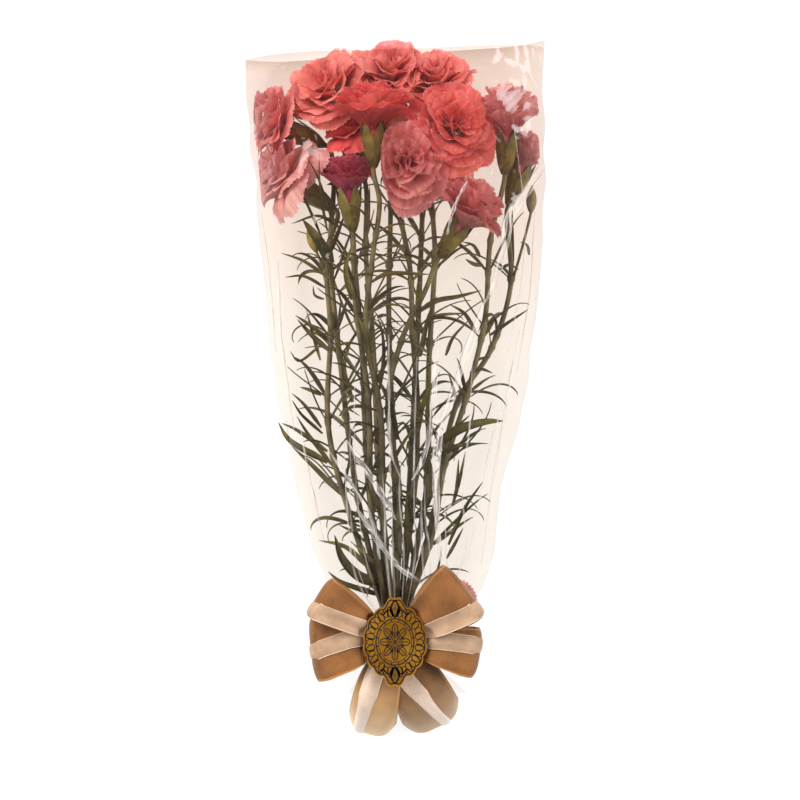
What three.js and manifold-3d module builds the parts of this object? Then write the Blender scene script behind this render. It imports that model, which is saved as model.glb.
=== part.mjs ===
// A bunch of carnations in an open film sleeve, tied at the neck with a ribbon bow and a badge.
// Millimetres, +Z up. The bunch lies on its back and +Y runs from the tie to the blooms.
// The origin is on the underside of the sleeve, near the middle of its length.

import * as THREE from 'three';
import { mergeVertices } from 'three/addons/utils/BufferGeometryUtils.js';
import Module from 'manifold-3d';

const wasm = await Module();
wasm.setup();

// Driving sizes of the flowers
const BLOOM_RADIUS = 28;
const CALYX_LENGTH = 28;
const CALYX_RADIUS = 7;
const CALYX_WALL = 1.2;
const CALYX_DEPTH = 8.4;
const CALYX_TEETH = 5;
const TOOTH_HEIGHT = 4.5;
const BLOOM_CENTRE_HEIGHT = 14;
const PETAL_THICKNESS = 1.1;
const STEM_RADIUS = 2.2;
const STEM_SIDES = 5;
const STEM_STEPS = 12;
const STEM_END_Y = -256;
const STEM_SWAY = 3;
const STEM_FLARE = 1.3;
const LEAF_THICKNESS = 1;
const LEAF_FINE_STEPS = 24;
const LEAF_CHAIN = 4;
const LEAF_MARGIN = 1;
const LEAF_ROOM = 4.5;
const NODE_SPACING = 60;

// Driving sizes of the sleeve and the bow
const FILM = 0.6;
const SLEEVE_POINTS = 18;
const SEAM_SHARE = 0.35;
const TIE_Y = -204;
const TIE_LENGTH = 20;
const TIE_GAP = 0.4;
const TIE_WALL = 1.4;
const RIBBON = 0.8;
const BAND = 0.7;
const RIBBON_GAP = 0.35;
const KNOT_RADIUS = 12;
const KNOT_LOW = 29.1;
const KNOT_HIGH = 55.6;
const KNOT_SIDES = 14;
const BADGE_LOW = 55.9;
const BADGE_THICKNESS = 2;
const BADGE_WIDTH = 54;
const BADGE_HEIGHT = 66;
const SCALLOPS = 12;
const SCALLOP_DEPTH = 0.07;
const ROSETTE_PETALS = 8;
const ROSETTE_RADIUS = 17;
const ROSETTE_DEPTH = 0.47;
const ROSETTE_RISE = 0.7;
const BOW_X = 0;
const BOW_Y = -201;

// Colours
const CORAL = 0xcc4f57;
const CORAL_LIGHT = 0xdb6560;
const CORAL_DEEP = 0xb23a48;
const MAGENTA = 0x9c2c55;
const STEM_GREEN = 0x6f7350;
const FILM_CREAM = 0xfde8da;
const RIBBON_BROWN = 0xa06c42;
const BAND_BEIGE = 0xdcc3ae;
const BADGE_GOLD = 0xb87d28;

// The sleeve's stations: y, left and right edge, lowest and highest z, share of the width that
// lies flat, and how much the ring leans along y for each mm of x.
const SLEEVE_STATIONS = [
  { y: 274, left: -121.6, right: 120, low: 0, high: 92, flat: 0.7, lean: 0.065 },
  { y: 240, left: -119, right: 119.5, low: 0, high: 104, flat: 0.7, lean: 0.03 },
  { y: 200, left: -117, right: 120, low: 0, high: 108, flat: 0.7, lean: 0 },
  { y: 165, left: -112, right: 120.5, low: 0, high: 106, flat: 0.7, lean: 0 },
  { y: 120, left: -109, right: 119, low: 0, high: 99, flat: 0.7, lean: 0 },
  { y: 60, left: -104, right: 113, low: 0, high: 87, flat: 0.7, lean: 0 },
  { y: -8, left: -95, right: 105, low: 0, high: 73, flat: 0.7, lean: 0 },
  { y: -80, left: -79, right: 86, low: 0, high: 58, flat: 0.66, lean: 0 },
  { y: -130, left: -67, right: 80, low: 0.4, high: 45, flat: 0.55, lean: 0 },
  { y: -160, left: -54, right: 71, low: 1, high: 36, flat: 0.4, lean: 0 },
  { y: -180, left: -34, right: 60, low: 1.6, high: 31, flat: 0.3, lean: 0 },
  { y: -193, left: -13.5, right: 13.5, low: 4.8, high: 27, flat: 0.3, lean: 0 },
  { y: -215, left: -13.5, right: 13.5, low: 4.8, high: 27, flat: 0.3, lean: 0 },
  { y: -230, left: -29, right: 40, low: 1.4, high: 30, flat: 0.3, lean: 0 },
  { y: -246, left: -38, right: 57, low: 0.4, high: 29, flat: 0.4, lean: 0 },
];

// The flowers. centre is the middle of the petals, axis the way the bloom faces, slot the stem's
// x and z at the tie, and route the stem's way from the tie up to the calyx.
const FLOWERS = [
  {
    name: 'far_left', centre: [-97, 216, 45], axis: [-0.85, 0.4, 0.3], radius: 31, roll: 0.2,
    color: CORAL, layers: 3, slot: [-7.2, 12.8],
    route: [[-31, -80, 20], [-46, 20, 24], [-50, 110, 26], [-50, 175, 28]],
  },
  {
    name: 'low_left', centre: [-88, 172, 50], axis: [-0.82, 0.57, 0.2], radius: 34, roll: 0.9,
    color: CORAL, layers: 3, slot: [-4.8, 17.4],
    route: [[-36, -104, 24], [-52, -30, 36], [-54, 48, 42], [-52, 110, 44]],
  },
  {
    name: 'top_left', centre: [-52, 240, 50], axis: [-0.3, 0.6, 0.7], radius: 32, roll: 0.1,
    color: CORAL_LIGHT, layers: 4, slot: [-4.8, 8.2],
    route: [[-19, -80, 11.5], [-29, 40, 12], [-36, 140, 12], [-41, 190, 13]],
  },
  {
    name: 'shaded', centre: [-38, 208, 43], axis: [-0.3, 0.9, 0.2], radius: 24, roll: 0.6,
    color: CORAL_DEEP, layers: 3, slot: [-2.4, 12.8],
    route: [[-10, -80, 16], [-18, 40, 20], [-22, 110, 22]],
  },
  {
    name: 'half_open', centre: [-38, 170, 62], axis: [-0.1, 1, 0.1], radius: 27, roll: 0.4,
    color: MAGENTA, layers: 3, slot: [-5.4, 22],
    route: [[-17, -100, 32], [-24, -10, 45], [-29, 72, 52]],
  },
  {
    name: 'front', centre: [-17, 224, 78], axis: [0, 1, 0.1], radius: 35, roll: 0.3,
    color: CORAL, layers: 4, slot: [-0.7, 22],
    route: [[-8, -100, 35], [-14, -24, 48], [-20, 48, 58], [-19, 104, 63], [-15, 150, 69]],
  },
  {
    name: 'top_middle', centre: [-4, 252, 45], axis: [0, 0.7, 0.7], radius: 31, roll: 0.8,
    color: CORAL_LIGHT, layers: 4, slot: [0, 8.2],
    route: [[-1, -80, 11], [-3, 60, 11], [-4, 160, 11]],
  },
  {
    name: 'facing', centre: [9, 181, 76], axis: [0.12, 0.12, 0.98], radius: 34, roll: 0.5,
    color: CORAL, layers: 4, slot: [2.4, 12.8],
    route: [[14, -70, 20], [19, -8, 25], [16, 48, 28], [9, 100, 26], [3, 140, 20], [1, 163, 20]],
  },
  {
    name: 'top_right', centre: [33, 247, 44], axis: [0.15, 0.75, 0.6], radius: 29, roll: 0.2,
    color: CORAL, layers: 3, slot: [4.8, 8.2],
    route: [[9, -80, 11], [18, 60, 11], [24, 150, 11]],
  },
  {
    name: 'right_middle', centre: [46, 208, 70], axis: [0.2, 0.4, 0.9], radius: 35, roll: 0.7,
    color: CORAL_LIGHT, layers: 4, slot: [4.8, 17.4],
    route: [[23, -80, 23], [29, 20, 24], [31, 110, 22], [33, 165, 19]],
  },
  {
    name: 'low_right', centre: [60, 144, 66], axis: [0.54, 0.84, 0.25], radius: 31, roll: 0.1,
    color: CORAL, layers: 4, slot: [0, 17.4],
    route: [[2, -80, 36], [-3, -10, 44], [4, 42, 50], [22, 80, 54]],
  },
  {
    name: 'far_right', centre: [90, 218, 58], axis: [0.05, 1, 0.15], radius: 31, roll: 0.5,
    color: CORAL, layers: 4, slot: [3.9, 22],
    route: [[28, -120, 29], [42, -60, 36], [58, -8, 43], [69, 56, 48], [79, 120, 52]],
  },
  {
    name: 'side_right', centre: [105, 189, 37], axis: [0.3, 0.9, 0.05], radius: 24, roll: 0.9,
    color: CORAL_DEEP, layers: 3, slot: [7.2, 12.8],
    route: [[31, -100, 17], [50, -12, 26], [74, 32, 29], [94, 84, 30]],
  },
];

// Closed side buds: which flower's stem carries one, how far up that stem, where its tip is, and
// the way it points.
const BUDS = [
  { flower: 'side_right', share: 0.83, tip: [110, 164, 46], axis: [0.05, 1, 0.1] },
  { flower: 'low_left', share: 0.86, tip: [-70, 131, 52], axis: [-0.35, 1, 0.1] },
];
const BUD_LENGTH = 22;
const BUD_SIDES = 7;
const STALK_RADIUS = 1.2;
const STALK_STEPS = 5;
const STALK_INTO_BUD = 3;
// A bud from its foot to its tip: distance from its axis and height under its tip
const BUD_PROFILE = [[1.4, -BUD_LENGTH], [3.4, -17], [4.2, -8], [3, -3], [1.2, 0]];

// The bloom's layers of petals, from the outside in: distance from the bloom's axis and height
// above the calyx at the petals' root, middle and rim, for a bloom of the full radius. Each layer
// is one waved dish, notched between its petals, and turned against the layer below it.
const PETALS_A_LAYER = 5;
const PETAL_COLUMNS = 3;
const NOTCH_SHARE = 0.8;
const PETAL_LAYERS = [
  { root: [5, 6.2], middle: [16, 12], rim: [30, 10], ruffle: 3.2, shift: 0 },
  { root: [4.2, 8.5], middle: [14, 17.5], rim: [25.5, 18.5], ruffle: 3, shift: 1 },
  { root: [3.2, 11.5], middle: [9, 21], rim: [17.5, 25], ruffle: 2.8, shift: 2 },
  { root: [1.8, 14], middle: [3.6, 22], rim: [8.5, 28.5], ruffle: 2.2, shift: 0 },
];
const MIDDLE_WAVE = 0.35;
const STUB_RADIUS = 5.1;
const STUB_DEPTH = 8;
const CENTRE_RADIUS = 1;
const CENTRE_RISE = 2.5;
// The calyx from its foot up: distance from the axis and height
const CALYX_PROFILE = [[2.3, -CALYX_LENGTH], [5.8, -23], [CALYX_RADIUS, -10]];

// How the blooms give way: from how far off a neighbour counts, the gaps that stay open, and over
// how many mm the petals give way before them
const NEIGHBOUR_REACH = 10;
const PETAL_GAP = 0.4;
const STEM_GAP = 1.6;
const NEIGHBOUR_SOFT = 4;
const FILM_SIDE_SHARE = 0.95;
const FILM_GAP_OVER = 3.2;
const FILM_GAP_UNDER = 2.2;
const FILM_SOFT = 7;
const FLOOR_SOFT = 4;

// Where the loose petal's narrow end lies, and how far its middle is over the film
const LOOSE_PETAL_ROOT = [42, -176];
const LOOSE_PETAL_LIFT = 2.2;

// The bow's loops: direction in degrees from +X, reach, half width at the fold, half width at the
// knot, rise per mm of reach, and where the narrow band lies across the loop, from -1 to 1.
const LOOPS = [
  { name: 'left_upper', angle: 149, reach: 72, fold: 18, root: 3.1, tilt: 0.17, band: 0.35 },
  { name: 'left_lower', angle: 186, reach: 68, fold: 25, root: 4.4, tilt: -0.1, band: 0.12 },
  { name: 'right_upper', angle: 37, reach: 71, fold: 26, root: 4.4, tilt: 0.2, band: -0.5 },
  { name: 'right_lower', angle: 351, reach: 69, fold: 18, root: 3.4, tilt: -0.1, band: 0.35 },
];
const LOOP_ROOT_Z = 43;
// One turn of ribbon, seen from the side: share of the reach and height over the middle line
const LOOP_SIDE = [
  [0, -1.6], [0.22, -4.5], [0.5, -9], [0.78, -10], [0.95, -6.5], [1, 0], [0.94, 7], [0.76, 11],
  [0.5, 11], [0.24, 6], [0, 1.6],
];
// The tails: direction in degrees, height at the knot, half widths, where the band lies
const TAILS = [
  { name: 'left', angle: 256, z: 40, root: 6, end: 20, reach: 80, band: 0.15 },
  { name: 'right', angle: 289, z: 35.5, root: 6, end: 25, reach: 80, band: -0.1 },
];
// A tail seen from the side: share of the reach and share of its height at the knot
const TAIL_SIDE = [
  [0, 1], [0.3, 1], [0.58, 0.93], [0.78, 0.72], [0.92, 0.42], [1, 0.12], [0.95, 0.06],
];
const BAND_HALF = 9.5;
const BAND_LIFT = RIBBON / 2 + RIBBON_GAP + BAND / 2;
// How many gaps off the knot a loop or tail starts, and a band
const ROOT_GAPS = 1;
const BAND_ROOT_GAPS = 2.6;

const vec = (p) => new THREE.Vector3(p[0], p[1], p[2]);
const mix = THREE.MathUtils.lerp;

// Seeded draws, so that every build gives the same leaves
function draws(seed) {
  let state = seed >>> 0;
  return () => {
    state = (Math.imul(state, 1664525) + 1013904223) >>> 0;
    return state / 4294967296;
  };
}

// Geometry helpers

function shell(positions, index) {
  const geometry = new THREE.BufferGeometry();
  geometry.setAttribute('position', new THREE.Float32BufferAttribute(positions, 3));
  geometry.setIndex(index);
  return geometry;
}

function volumeOf(geometry) {
  const p = geometry.attributes.position;
  const index = geometry.index.array;
  const a = new THREE.Vector3();
  const b = new THREE.Vector3();
  const c = new THREE.Vector3();
  let sum = 0;
  for (let i = 0; i < index.length; i += 3) {
    a.fromBufferAttribute(p, index[i]);
    b.fromBufferAttribute(p, index[i + 1]);
    c.fromBufferAttribute(p, index[i + 2]);
    sum += a.dot(b.cross(c));
  }
  return sum / 6;
}

function facingOut(geometry) {
  if (volumeOf(geometry) < 0) {
    geometry.index.array.reverse();
  }
  return geometry;
}

// A closed solid through rings of points, with a flat cap at each end. The strips that start at the
// turned rings are split along their other diagonal.
function loft(rings, turned = []) {
  const count = rings[0].length;
  const positions = rings.flat().flatMap((p) => [p.x, p.y, p.z]);
  const index = [];
  for (let i = 0; i + 1 < rings.length; i += 1) {
    for (let j = 0; j < count; j += 1) {
      const a = i * count + j;
      const b = i * count + ((j + 1) % count);
      if (turned.includes(i)) {
        index.push(a, b, a + count, b, b + count, a + count);
      } else {
        index.push(a, b, b + count, a, b + count, a + count);
      }
    }
  }
  const last = (rings.length - 1) * count;
  for (let j = 1; j + 1 < count; j += 1) {
    index.push(0, j + 1, j, last, last + j, last + j + 1);
  }
  return facingOut(shell(positions, index));
}

// A tube: rings that close on themselves, the last ring joined to the first
function ringLoft(rings) {
  const count = rings[0].length;
  const positions = rings.flat().flatMap((p) => [p.x, p.y, p.z]);
  const index = [];
  for (let i = 0; i < rings.length; i += 1) {
    for (let j = 0; j < count; j += 1) {
      const a = i * count + j;
      const b = i * count + ((j + 1) % count);
      const c = ((i + 1) % rings.length) * count + ((j + 1) % count);
      const d = ((i + 1) % rings.length) * count + j;
      index.push(a, b, c, a, c, d);
    }
  }
  return facingOut(shell(positions, index));
}

function gridNormal(grid, i, j) {
  const left = grid[Math.max(i - 1, 0)][j];
  const right = grid[Math.min(i + 1, grid.length - 1)][j];
  const before = grid[i][Math.max(j - 1, 0)];
  const after = grid[i][Math.min(j + 1, grid[0].length - 1)];
  return right.clone().sub(left).cross(after.clone().sub(before)).normalize();
}

// A thin solid over a grid of points, with both faces split alike. Where sharp is true the sides
// and the far end come to an edge, and otherwise they have the full thickness.
function blade(grid, thickness, sharp, bend = (p) => p) {
  const across = grid.length - 1;
  const along = grid[0].length - 1;
  const positions = [];
  const add = (p) => positions.push(...bend(p).toArray()) / 3 - 1;
  const upper = grid.map(() => []);
  const lower = grid.map(() => []);
  for (let i = 0; i <= across; i += 1) {
    for (let j = 0; j <= along; j += 1) {
      const rim = sharp && (i === 0 || i === across || j === along);
      const offset = gridNormal(grid, i, j).multiplyScalar(rim ? 0 : thickness / 2);
      upper[i][j] = add(grid[i][j].clone().add(offset));
      lower[i][j] = rim ? upper[i][j] : add(grid[i][j].clone().sub(offset));
    }
  }
  const index = [];
  const triangle = (a, b, c) => {
    if (a !== b && b !== c && c !== a) index.push(a, b, c);
  };
  for (let i = 0; i < across; i += 1) {
    for (let j = 0; j < along; j += 1) {
      for (const [side, flip] of [[upper, false], [lower, true]]) {
        const a = side[i][j];
        const b = side[i + 1][j];
        const c = side[i + 1][j + 1];
        const d = side[i][j + 1];
        const halves = i < across / 2 ? [[a, b, d], [b, c, d]] : [[a, b, c], [a, c, d]];
        for (const [p, q, r] of halves) triangle(p, flip ? r : q, flip ? q : r);
      }
    }
  }
  const wall = (i, j, k, l) => {
    triangle(upper[i][j], lower[i][j], lower[k][l]);
    triangle(upper[i][j], lower[k][l], upper[k][l]);
  };
  for (let i = 0; i < across; i += 1) {
    wall(i, 0, i + 1, 0);
    wall(i + 1, along, i, along);
  }
  for (let j = 0; j < along; j += 1) {
    wall(0, j + 1, 0, j);
    wall(across, j, across, j + 1);
  }
  return facingOut(shell(positions, index));
}

function solidOf(geometry) {
  const bare = geometry.clone();
  bare.deleteAttribute('normal');
  bare.deleteAttribute('uv');
  const merged = mergeVertices(bare, 1e-4);
  return new wasm.Manifold(new wasm.Mesh({
    numProp: 3,
    vertProperties: Float32Array.from(merged.attributes.position.array),
    triVerts: Uint32Array.from(merged.index.array),
  }));
}

function joined(geometries) {
  const mesh = geometries.map(solidOf).reduce((sum, next) => sum.add(next)).getMesh();
  return shell(Array.from(mesh.vertProperties), Array.from(mesh.triVerts));
}

// The flower's own frame: a point at a distance and an angle round the axis, and a height above
// the calyx's mouth
function frameOf(flower) {
  const axis = vec(flower.axis).normalize();
  const side = new THREE.Vector3(0.3, -0.2, 0.93).cross(axis).normalize();
  const front = axis.clone().cross(side);
  const depth = BLOOM_CENTRE_HEIGHT * flower.radius / BLOOM_RADIUS;
  const mouth = vec(flower.centre).addScaledVector(axis, -depth);
  const at = (distance, angle, height) => mouth.clone()
    .addScaledVector(side, distance * Math.cos(angle))
    .addScaledVector(front, distance * Math.sin(angle))
    .addScaledVector(axis, height);
  return { axis, mouth, at, base: mouth.clone().addScaledVector(axis, -CALYX_LENGTH) };
}

// The sleeve's section at a y, and its lowest and highest z at an x
function sleeveAt(y) {
  const stations = SLEEVE_STATIONS;
  let k = 0;
  while (k < stations.length - 2 && y < stations[k + 1].y) k += 1;
  const share = THREE.MathUtils.clamp((stations[k].y - y) / (stations[k].y - stations[k + 1].y), 0, 1);
  const value = (key) => mix(stations[k][key], stations[k + 1][key], share);
  return Object.fromEntries(['left', 'right', 'low', 'high', 'flat'].map((key) => [key, value(key)]));
}

function filmHeights(section, u) {
  const seam = mix(section.low, section.high, SEAM_SHARE);
  const rise = Math.max(0, (Math.abs(u) - section.flat) / (1 - section.flat));
  const arch = Math.pow(Math.max(0, 1 - Math.abs(u) ** 3), 0.5);
  return { low: mix(section.low, seam, rise ** 2), high: mix(seam, section.high, arch) };
}

// How far a point lies inside the sleeve, in mm, measured straight up, down and sideways
function roomInSleeve(p) {
  const section = sleeveAt(p.y);
  const middle = (section.left + section.right) / 2;
  const half = (section.right - section.left) / 2;
  const u = (p.x - middle) / half;
  if (Math.abs(u) >= 1) return -1;
  const heights = filmHeights(section, u);
  return Math.min(p.z - heights.low, heights.high - p.z, half * (1 - Math.abs(u)));
}

// Eases a distance back so that it never passes its limit, starting a way before it
function eased(distance, limit, soft) {
  const past = distance - (limit - soft);
  return past > 0 ? limit - soft + (soft * past) / (soft + past) : distance;
}

// How far a stem sways to the side at a y, for the flower at a place in the list
function sway(y, i) {
  return STEM_SWAY * Math.sin(y / 27 + i * 0.55) * THREE.MathUtils.smoothstep(y, -170, -50);
}

// The stem of each flower, from its cut end up to its calyx
function stemCurve(flower, i) {
  const frame = frameOf(flower);
  const [x, z] = flower.slot;
  const points = [
    new THREE.Vector3(x * STEM_FLARE, STEM_END_Y, z),
    new THREE.Vector3(x, TIE_Y - TIE_LENGTH / 2, z),
    new THREE.Vector3(x, TIE_Y + TIE_LENGTH / 2, z),
    ...flower.route.map(([px, py, pz]) => new THREE.Vector3(px + sway(py, i), py, pz)),
    frame.base.clone().addScaledVector(frame.axis, -7),
    frame.base.clone().addScaledVector(frame.axis, 2.5),
  ];
  return new THREE.CatmullRomCurve3(points, false, 'centripetal');
}

const FRAMES = FLOWERS.map(frameOf);
const STEMS = FLOWERS.map(stemCurve);
const STEM_POINTS = STEMS.map((curve) => curve.getSpacedPoints(90));

// The flat limits between a bloom and its neighbours: the next blooms, stems and calyxes
function limitsOf(i) {
  const centre = vec(FLOWERS[i].centre);
  const limits = [];
  const keep = (point, distance) => {
    limits.push({ normal: point.clone().sub(centre).normalize(), distance });
  };
  FLOWERS.forEach((other, j) => {
    if (j === i) return;
    const reach = FLOWERS[i].radius;
    const there = vec(other.centre);
    const apart = there.distanceTo(centre);
    if (apart < reach + other.radius + NEIGHBOUR_REACH) {
      keep(there, apart * reach / (reach + other.radius) - PETAL_GAP);
    }
    const keepOff = (points, radius) => {
      const nearest = points.reduce((best, p) => (
        p.distanceTo(centre) < best.distanceTo(centre) ? p : best));
      const gap = nearest.distanceTo(centre) - radius;
      if (gap < reach + NEIGHBOUR_REACH) keep(nearest, gap - STEM_GAP);
    };
    keepOff(STEM_POINTS[j], STEM_RADIUS);
    const { base, mouth } = FRAMES[j];
    keepOff([0, 0.25, 0.5, 0.75, 1].map((t) => base.clone().lerp(mouth, t)), CALYX_RADIUS);
  });
  return { centre, limits };
}

// Presses a point of a bloom back from its neighbours and from the film
function pressed(cell) {
  return (point) => {
    const p = point.clone();
    for (let pass = 0; pass < 2; pass += 1) {
      for (const { normal, distance } of cell.limits) {
        const along = p.clone().sub(cell.centre).dot(normal);
        p.addScaledVector(normal, eased(along, distance, NEIGHBOUR_SOFT) - along);
      }
    }
    const section = sleeveAt(p.y);
    const middle = (section.left + section.right) / 2;
    const half = (section.right - section.left) / 2;
    p.x = middle + eased(p.x - middle, half * FILM_SIDE_SHARE, FILM_SOFT);
    p.x = middle - eased(middle - p.x, half * FILM_SIDE_SHARE, FILM_SOFT);
    const heights = filmHeights(section, (p.x - middle) / half);
    p.z = eased(p.z, heights.high - FILM_GAP_OVER, FILM_SOFT);
    p.z = -eased(-p.z, -heights.low - FILM_GAP_UNDER, FLOOR_SOFT);
    return p;
  };
}

// The bloom: one loft up its axis, out along the underside of each layer and back over its top.
// Both faces of a layer are split alike, so that they keep their distance where the layer waves.
function bloom(flower, i) {
  const frame = FRAMES[i];
  const bend = pressed(limitsOf(i));
  const size = flower.radius / BLOOM_RADIUS;
  const columns = PETALS_A_LAYER * PETAL_COLUMNS;
  const ring = (distanceOf, heightOf) => Array.from({ length: columns }, (_, k) => (
    frame.at(distanceOf(k), flower.roll * 6 + (k / columns) * Math.PI * 2, heightOf(k))));
  const plain = (distance, height) => ring(() => distance, () => height);
  const rings = [plain(STUB_RADIUS, -STUB_DEPTH), plain(STUB_RADIUS, TOOTH_HEIGHT)];
  const turned = [];
  const layers = PETAL_LAYERS.slice(0, flower.layers);
  for (const { root, middle, rim, ruffle, shift } of layers) {
    const place = (k) => (k + shift) % PETAL_COLUMNS;
    const wave = (k) => [0, ruffle, -0.7 * ruffle][place(k)];
    const reach = (k) => rim[0] * size * (place(k) === 0 ? NOTCH_SHARE : 1);
    const slope = new THREE.Vector2(rim[0] - root[0], rim[1] - root[1]).normalize();
    const face = (offset) => ring(
      () => middle[0] * size - offset * slope.y,
      (k) => middle[1] * size + MIDDLE_WAVE * wave(k) + offset * slope.x,
    ).map(bend);
    turned.push(rings.length + 2, rings.length + 3);
    rings.push(
      plain(root[0], root[1] * size).map(bend),
      face(-PETAL_THICKNESS / 2),
      ring(reach, (k) => rim[1] * size + wave(k)).map(bend),
      face(PETAL_THICKNESS / 2),
    );
  }
  rings.push(plain(CENTRE_RADIUS, layers.at(-1).root[1] * size + CENTRE_RISE).map(bend));
  return loft(rings, turned);
}

// The calyx: a cup with a zigzag mouth, whose high points are the teeth
function calyxSolid(frame) {
  const sides = CALYX_TEETH * 2;
  const ring = (distance, heightOf) => Array.from({ length: sides }, (_, k) => (
    frame.at(distance, (k / sides) * Math.PI * 2, heightOf(k))));
  const tooth = (k) => (k % 2 === 0 ? TOOTH_HEIGHT : 0);
  const inner = CALYX_RADIUS - CALYX_WALL;
  return loft([
    ...CALYX_PROFILE.map(([distance, height]) => ring(distance, () => height)),
    ring(CALYX_RADIUS, tooth),
    ring(inner, tooth),
    ring(inner, () => -CALYX_DEPTH),
  ]);
}

function tube(curve, radius, steps) {
  const outline = new THREE.Shape(Array.from({ length: STEM_SIDES }, (_, k) => new THREE.Vector2(
    radius * Math.cos((k / STEM_SIDES) * Math.PI * 2),
    radius * Math.sin((k / STEM_SIDES) * Math.PI * 2),
  )));
  return new THREE.ExtrudeGeometry(outline, { steps, extrudePath: curve, bevelEnabled: false });
}

function budSolids(bud) {
  const stem = STEMS[FLOWERS.findIndex((flower) => flower.name === bud.flower)];
  const axis = vec(bud.axis).normalize();
  const tip = vec(bud.tip);
  const start = stem.getPointAt(bud.share);
  const foot = tip.clone().addScaledVector(axis, -BUD_LENGTH);
  const bendPoint = start.clone().lerp(foot, 0.5).addScaledVector(axis, -STALK_INTO_BUD);
  const stalk = new THREE.CatmullRomCurve3([
    start, bendPoint, foot, foot.clone().addScaledVector(axis, STALK_INTO_BUD),
  ]);
  const side = new THREE.Vector3(0, 0, 1).cross(axis).normalize();
  const front = axis.clone().cross(side);
  const rings = BUD_PROFILE.map(([distance, height]) => (
    Array.from({ length: BUD_SIDES }, (_, k) => tip.clone()
      .addScaledVector(side, distance * Math.cos((k / BUD_SIDES) * Math.PI * 2))
      .addScaledVector(front, distance * Math.sin((k / BUD_SIDES) * Math.PI * 2))
      .addScaledVector(axis, height))));
  return {
    solids: [tube(stalk, STALK_RADIUS, STALK_STEPS), loft(rings)],
    path: [...stalk.getPoints(STALK_STEPS + 1), tip],
  };
}

// Leaves. Each is a narrow blade on a path that bends away from its stem.

// A leaf's path: it starts along one direction and turns towards another
function leafPath(leaf, steps) {
  const points = [leaf.start.clone()];
  const p = leaf.start.clone();
  for (let k = 0; k < LEAF_FINE_STEPS; k += 1) {
    const s = (k + 0.5) / LEAF_FINE_STEPS;
    const turn = leaf.turn * s + leaf.curl * s ** 3;
    p.addScaledVector(leaf.along, (Math.cos(turn) * leaf.length) / LEAF_FINE_STEPS);
    p.addScaledVector(leaf.away, (Math.sin(turn) * leaf.length) / LEAF_FINE_STEPS);
    if ((k + 1) % (LEAF_FINE_STEPS / steps) === 0) points.push(p.clone());
  }
  return points;
}

function stepsOf(leaf) {
  return leaf.length > 48 ? 4 : 3;
}

function leafWidth(leaf, s) {
  return leaf.width * Math.min(1, 0.45 + 2 * s) * Math.max(0.12, (1 - s ** 2.4) ** 0.9);
}

// A leaf's blade. It rolls a little about its own path from its root to its tip.
function leafSolid(leaf) {
  const steps = stepsOf(leaf);
  const path = leafPath(leaf, steps);
  const flat = leaf.along.clone().cross(leaf.away).normalize();
  const grid = [-0.5, 0, 0.5].map((side) => path.map((p, j) => {
    const ahead = path[Math.min(j + 1, steps)].clone().sub(path[Math.max(j - 1, 0)]).normalize();
    const face = flat.clone().cross(ahead);
    const roll = leaf.roll * (0.4 + 0.6 * j / steps);
    const across = flat.clone().multiplyScalar(Math.cos(roll)).addScaledVector(face, Math.sin(roll));
    return p.clone().addScaledVector(across, side * leafWidth(leaf, j / steps));
  }));
  return blade(grid, LEAF_THICKNESS, true);
}

function segmentGap(a, b, c, d) {
  const ab = b.clone().sub(a);
  const cd = d.clone().sub(c);
  const r = a.clone().sub(c);
  const aa = ab.dot(ab);
  const cc = cd.dot(cd);
  const bb = ab.dot(cd);
  const det = aa * cc - bb * bb;
  let s = det > 1e-9 ? THREE.MathUtils.clamp((bb * cd.dot(r) - cc * ab.dot(r)) / det, 0, 1) : 0;
  const t = THREE.MathUtils.clamp((bb * s + cd.dot(r)) / cc, 0, 1);
  s = THREE.MathUtils.clamp((bb * t - ab.dot(r)) / aa, 0, 1);
  return a.clone().addScaledVector(ab, s).distanceTo(c.clone().addScaledVector(cd, t));
}

function chainsClear(chain, radius, other, otherRadius) {
  for (let i = 0; i + 1 < chain.length; i += 1) {
    for (let j = 0; j + 1 < other.length; j += 1) {
      if (segmentGap(chain[i], chain[i + 1], other[j], other[j + 1]) < radius + otherRadius + LEAF_MARGIN) {
        return false;
      }
    }
  }
  return true;
}

const BUD_PARTS = BUDS.map(budSolids);
const STEM_CHAINS = STEMS.map((curve) => curve.getSpacedPoints(24));

function leafFits(path, width, owner, grown) {
  const tail = path.slice(1);
  for (let k = 0; k < STEMS.length; k += 1) {
    const chain = k === owner ? tail : path;
    if (!chainsClear(chain, width / 2, STEM_CHAINS[k], STEM_RADIUS)) return false;
    const calyx = [FRAMES[k].base, FRAMES[k].mouth];
    if (!chainsClear(path, width / 2, calyx, CALYX_RADIUS + 1)) return false;
    const centre = vec(FLOWERS[k].centre);
    if (path.some((p) => p.distanceTo(centre) < FLOWERS[k].radius + 6)) return false;
  }
  if (BUD_PARTS.some((bud) => !chainsClear(tail, width / 2, bud.path, 4.4))) return false;
  return grown.every((leaf) => {
    const sameStem = leaf.owner === owner;
    const other = sameStem ? leaf.path.slice(1) : leaf.path;
    return chainsClear(sameStem ? tail : path, width / 2, other, leaf.width / 2);
  });
}

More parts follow.
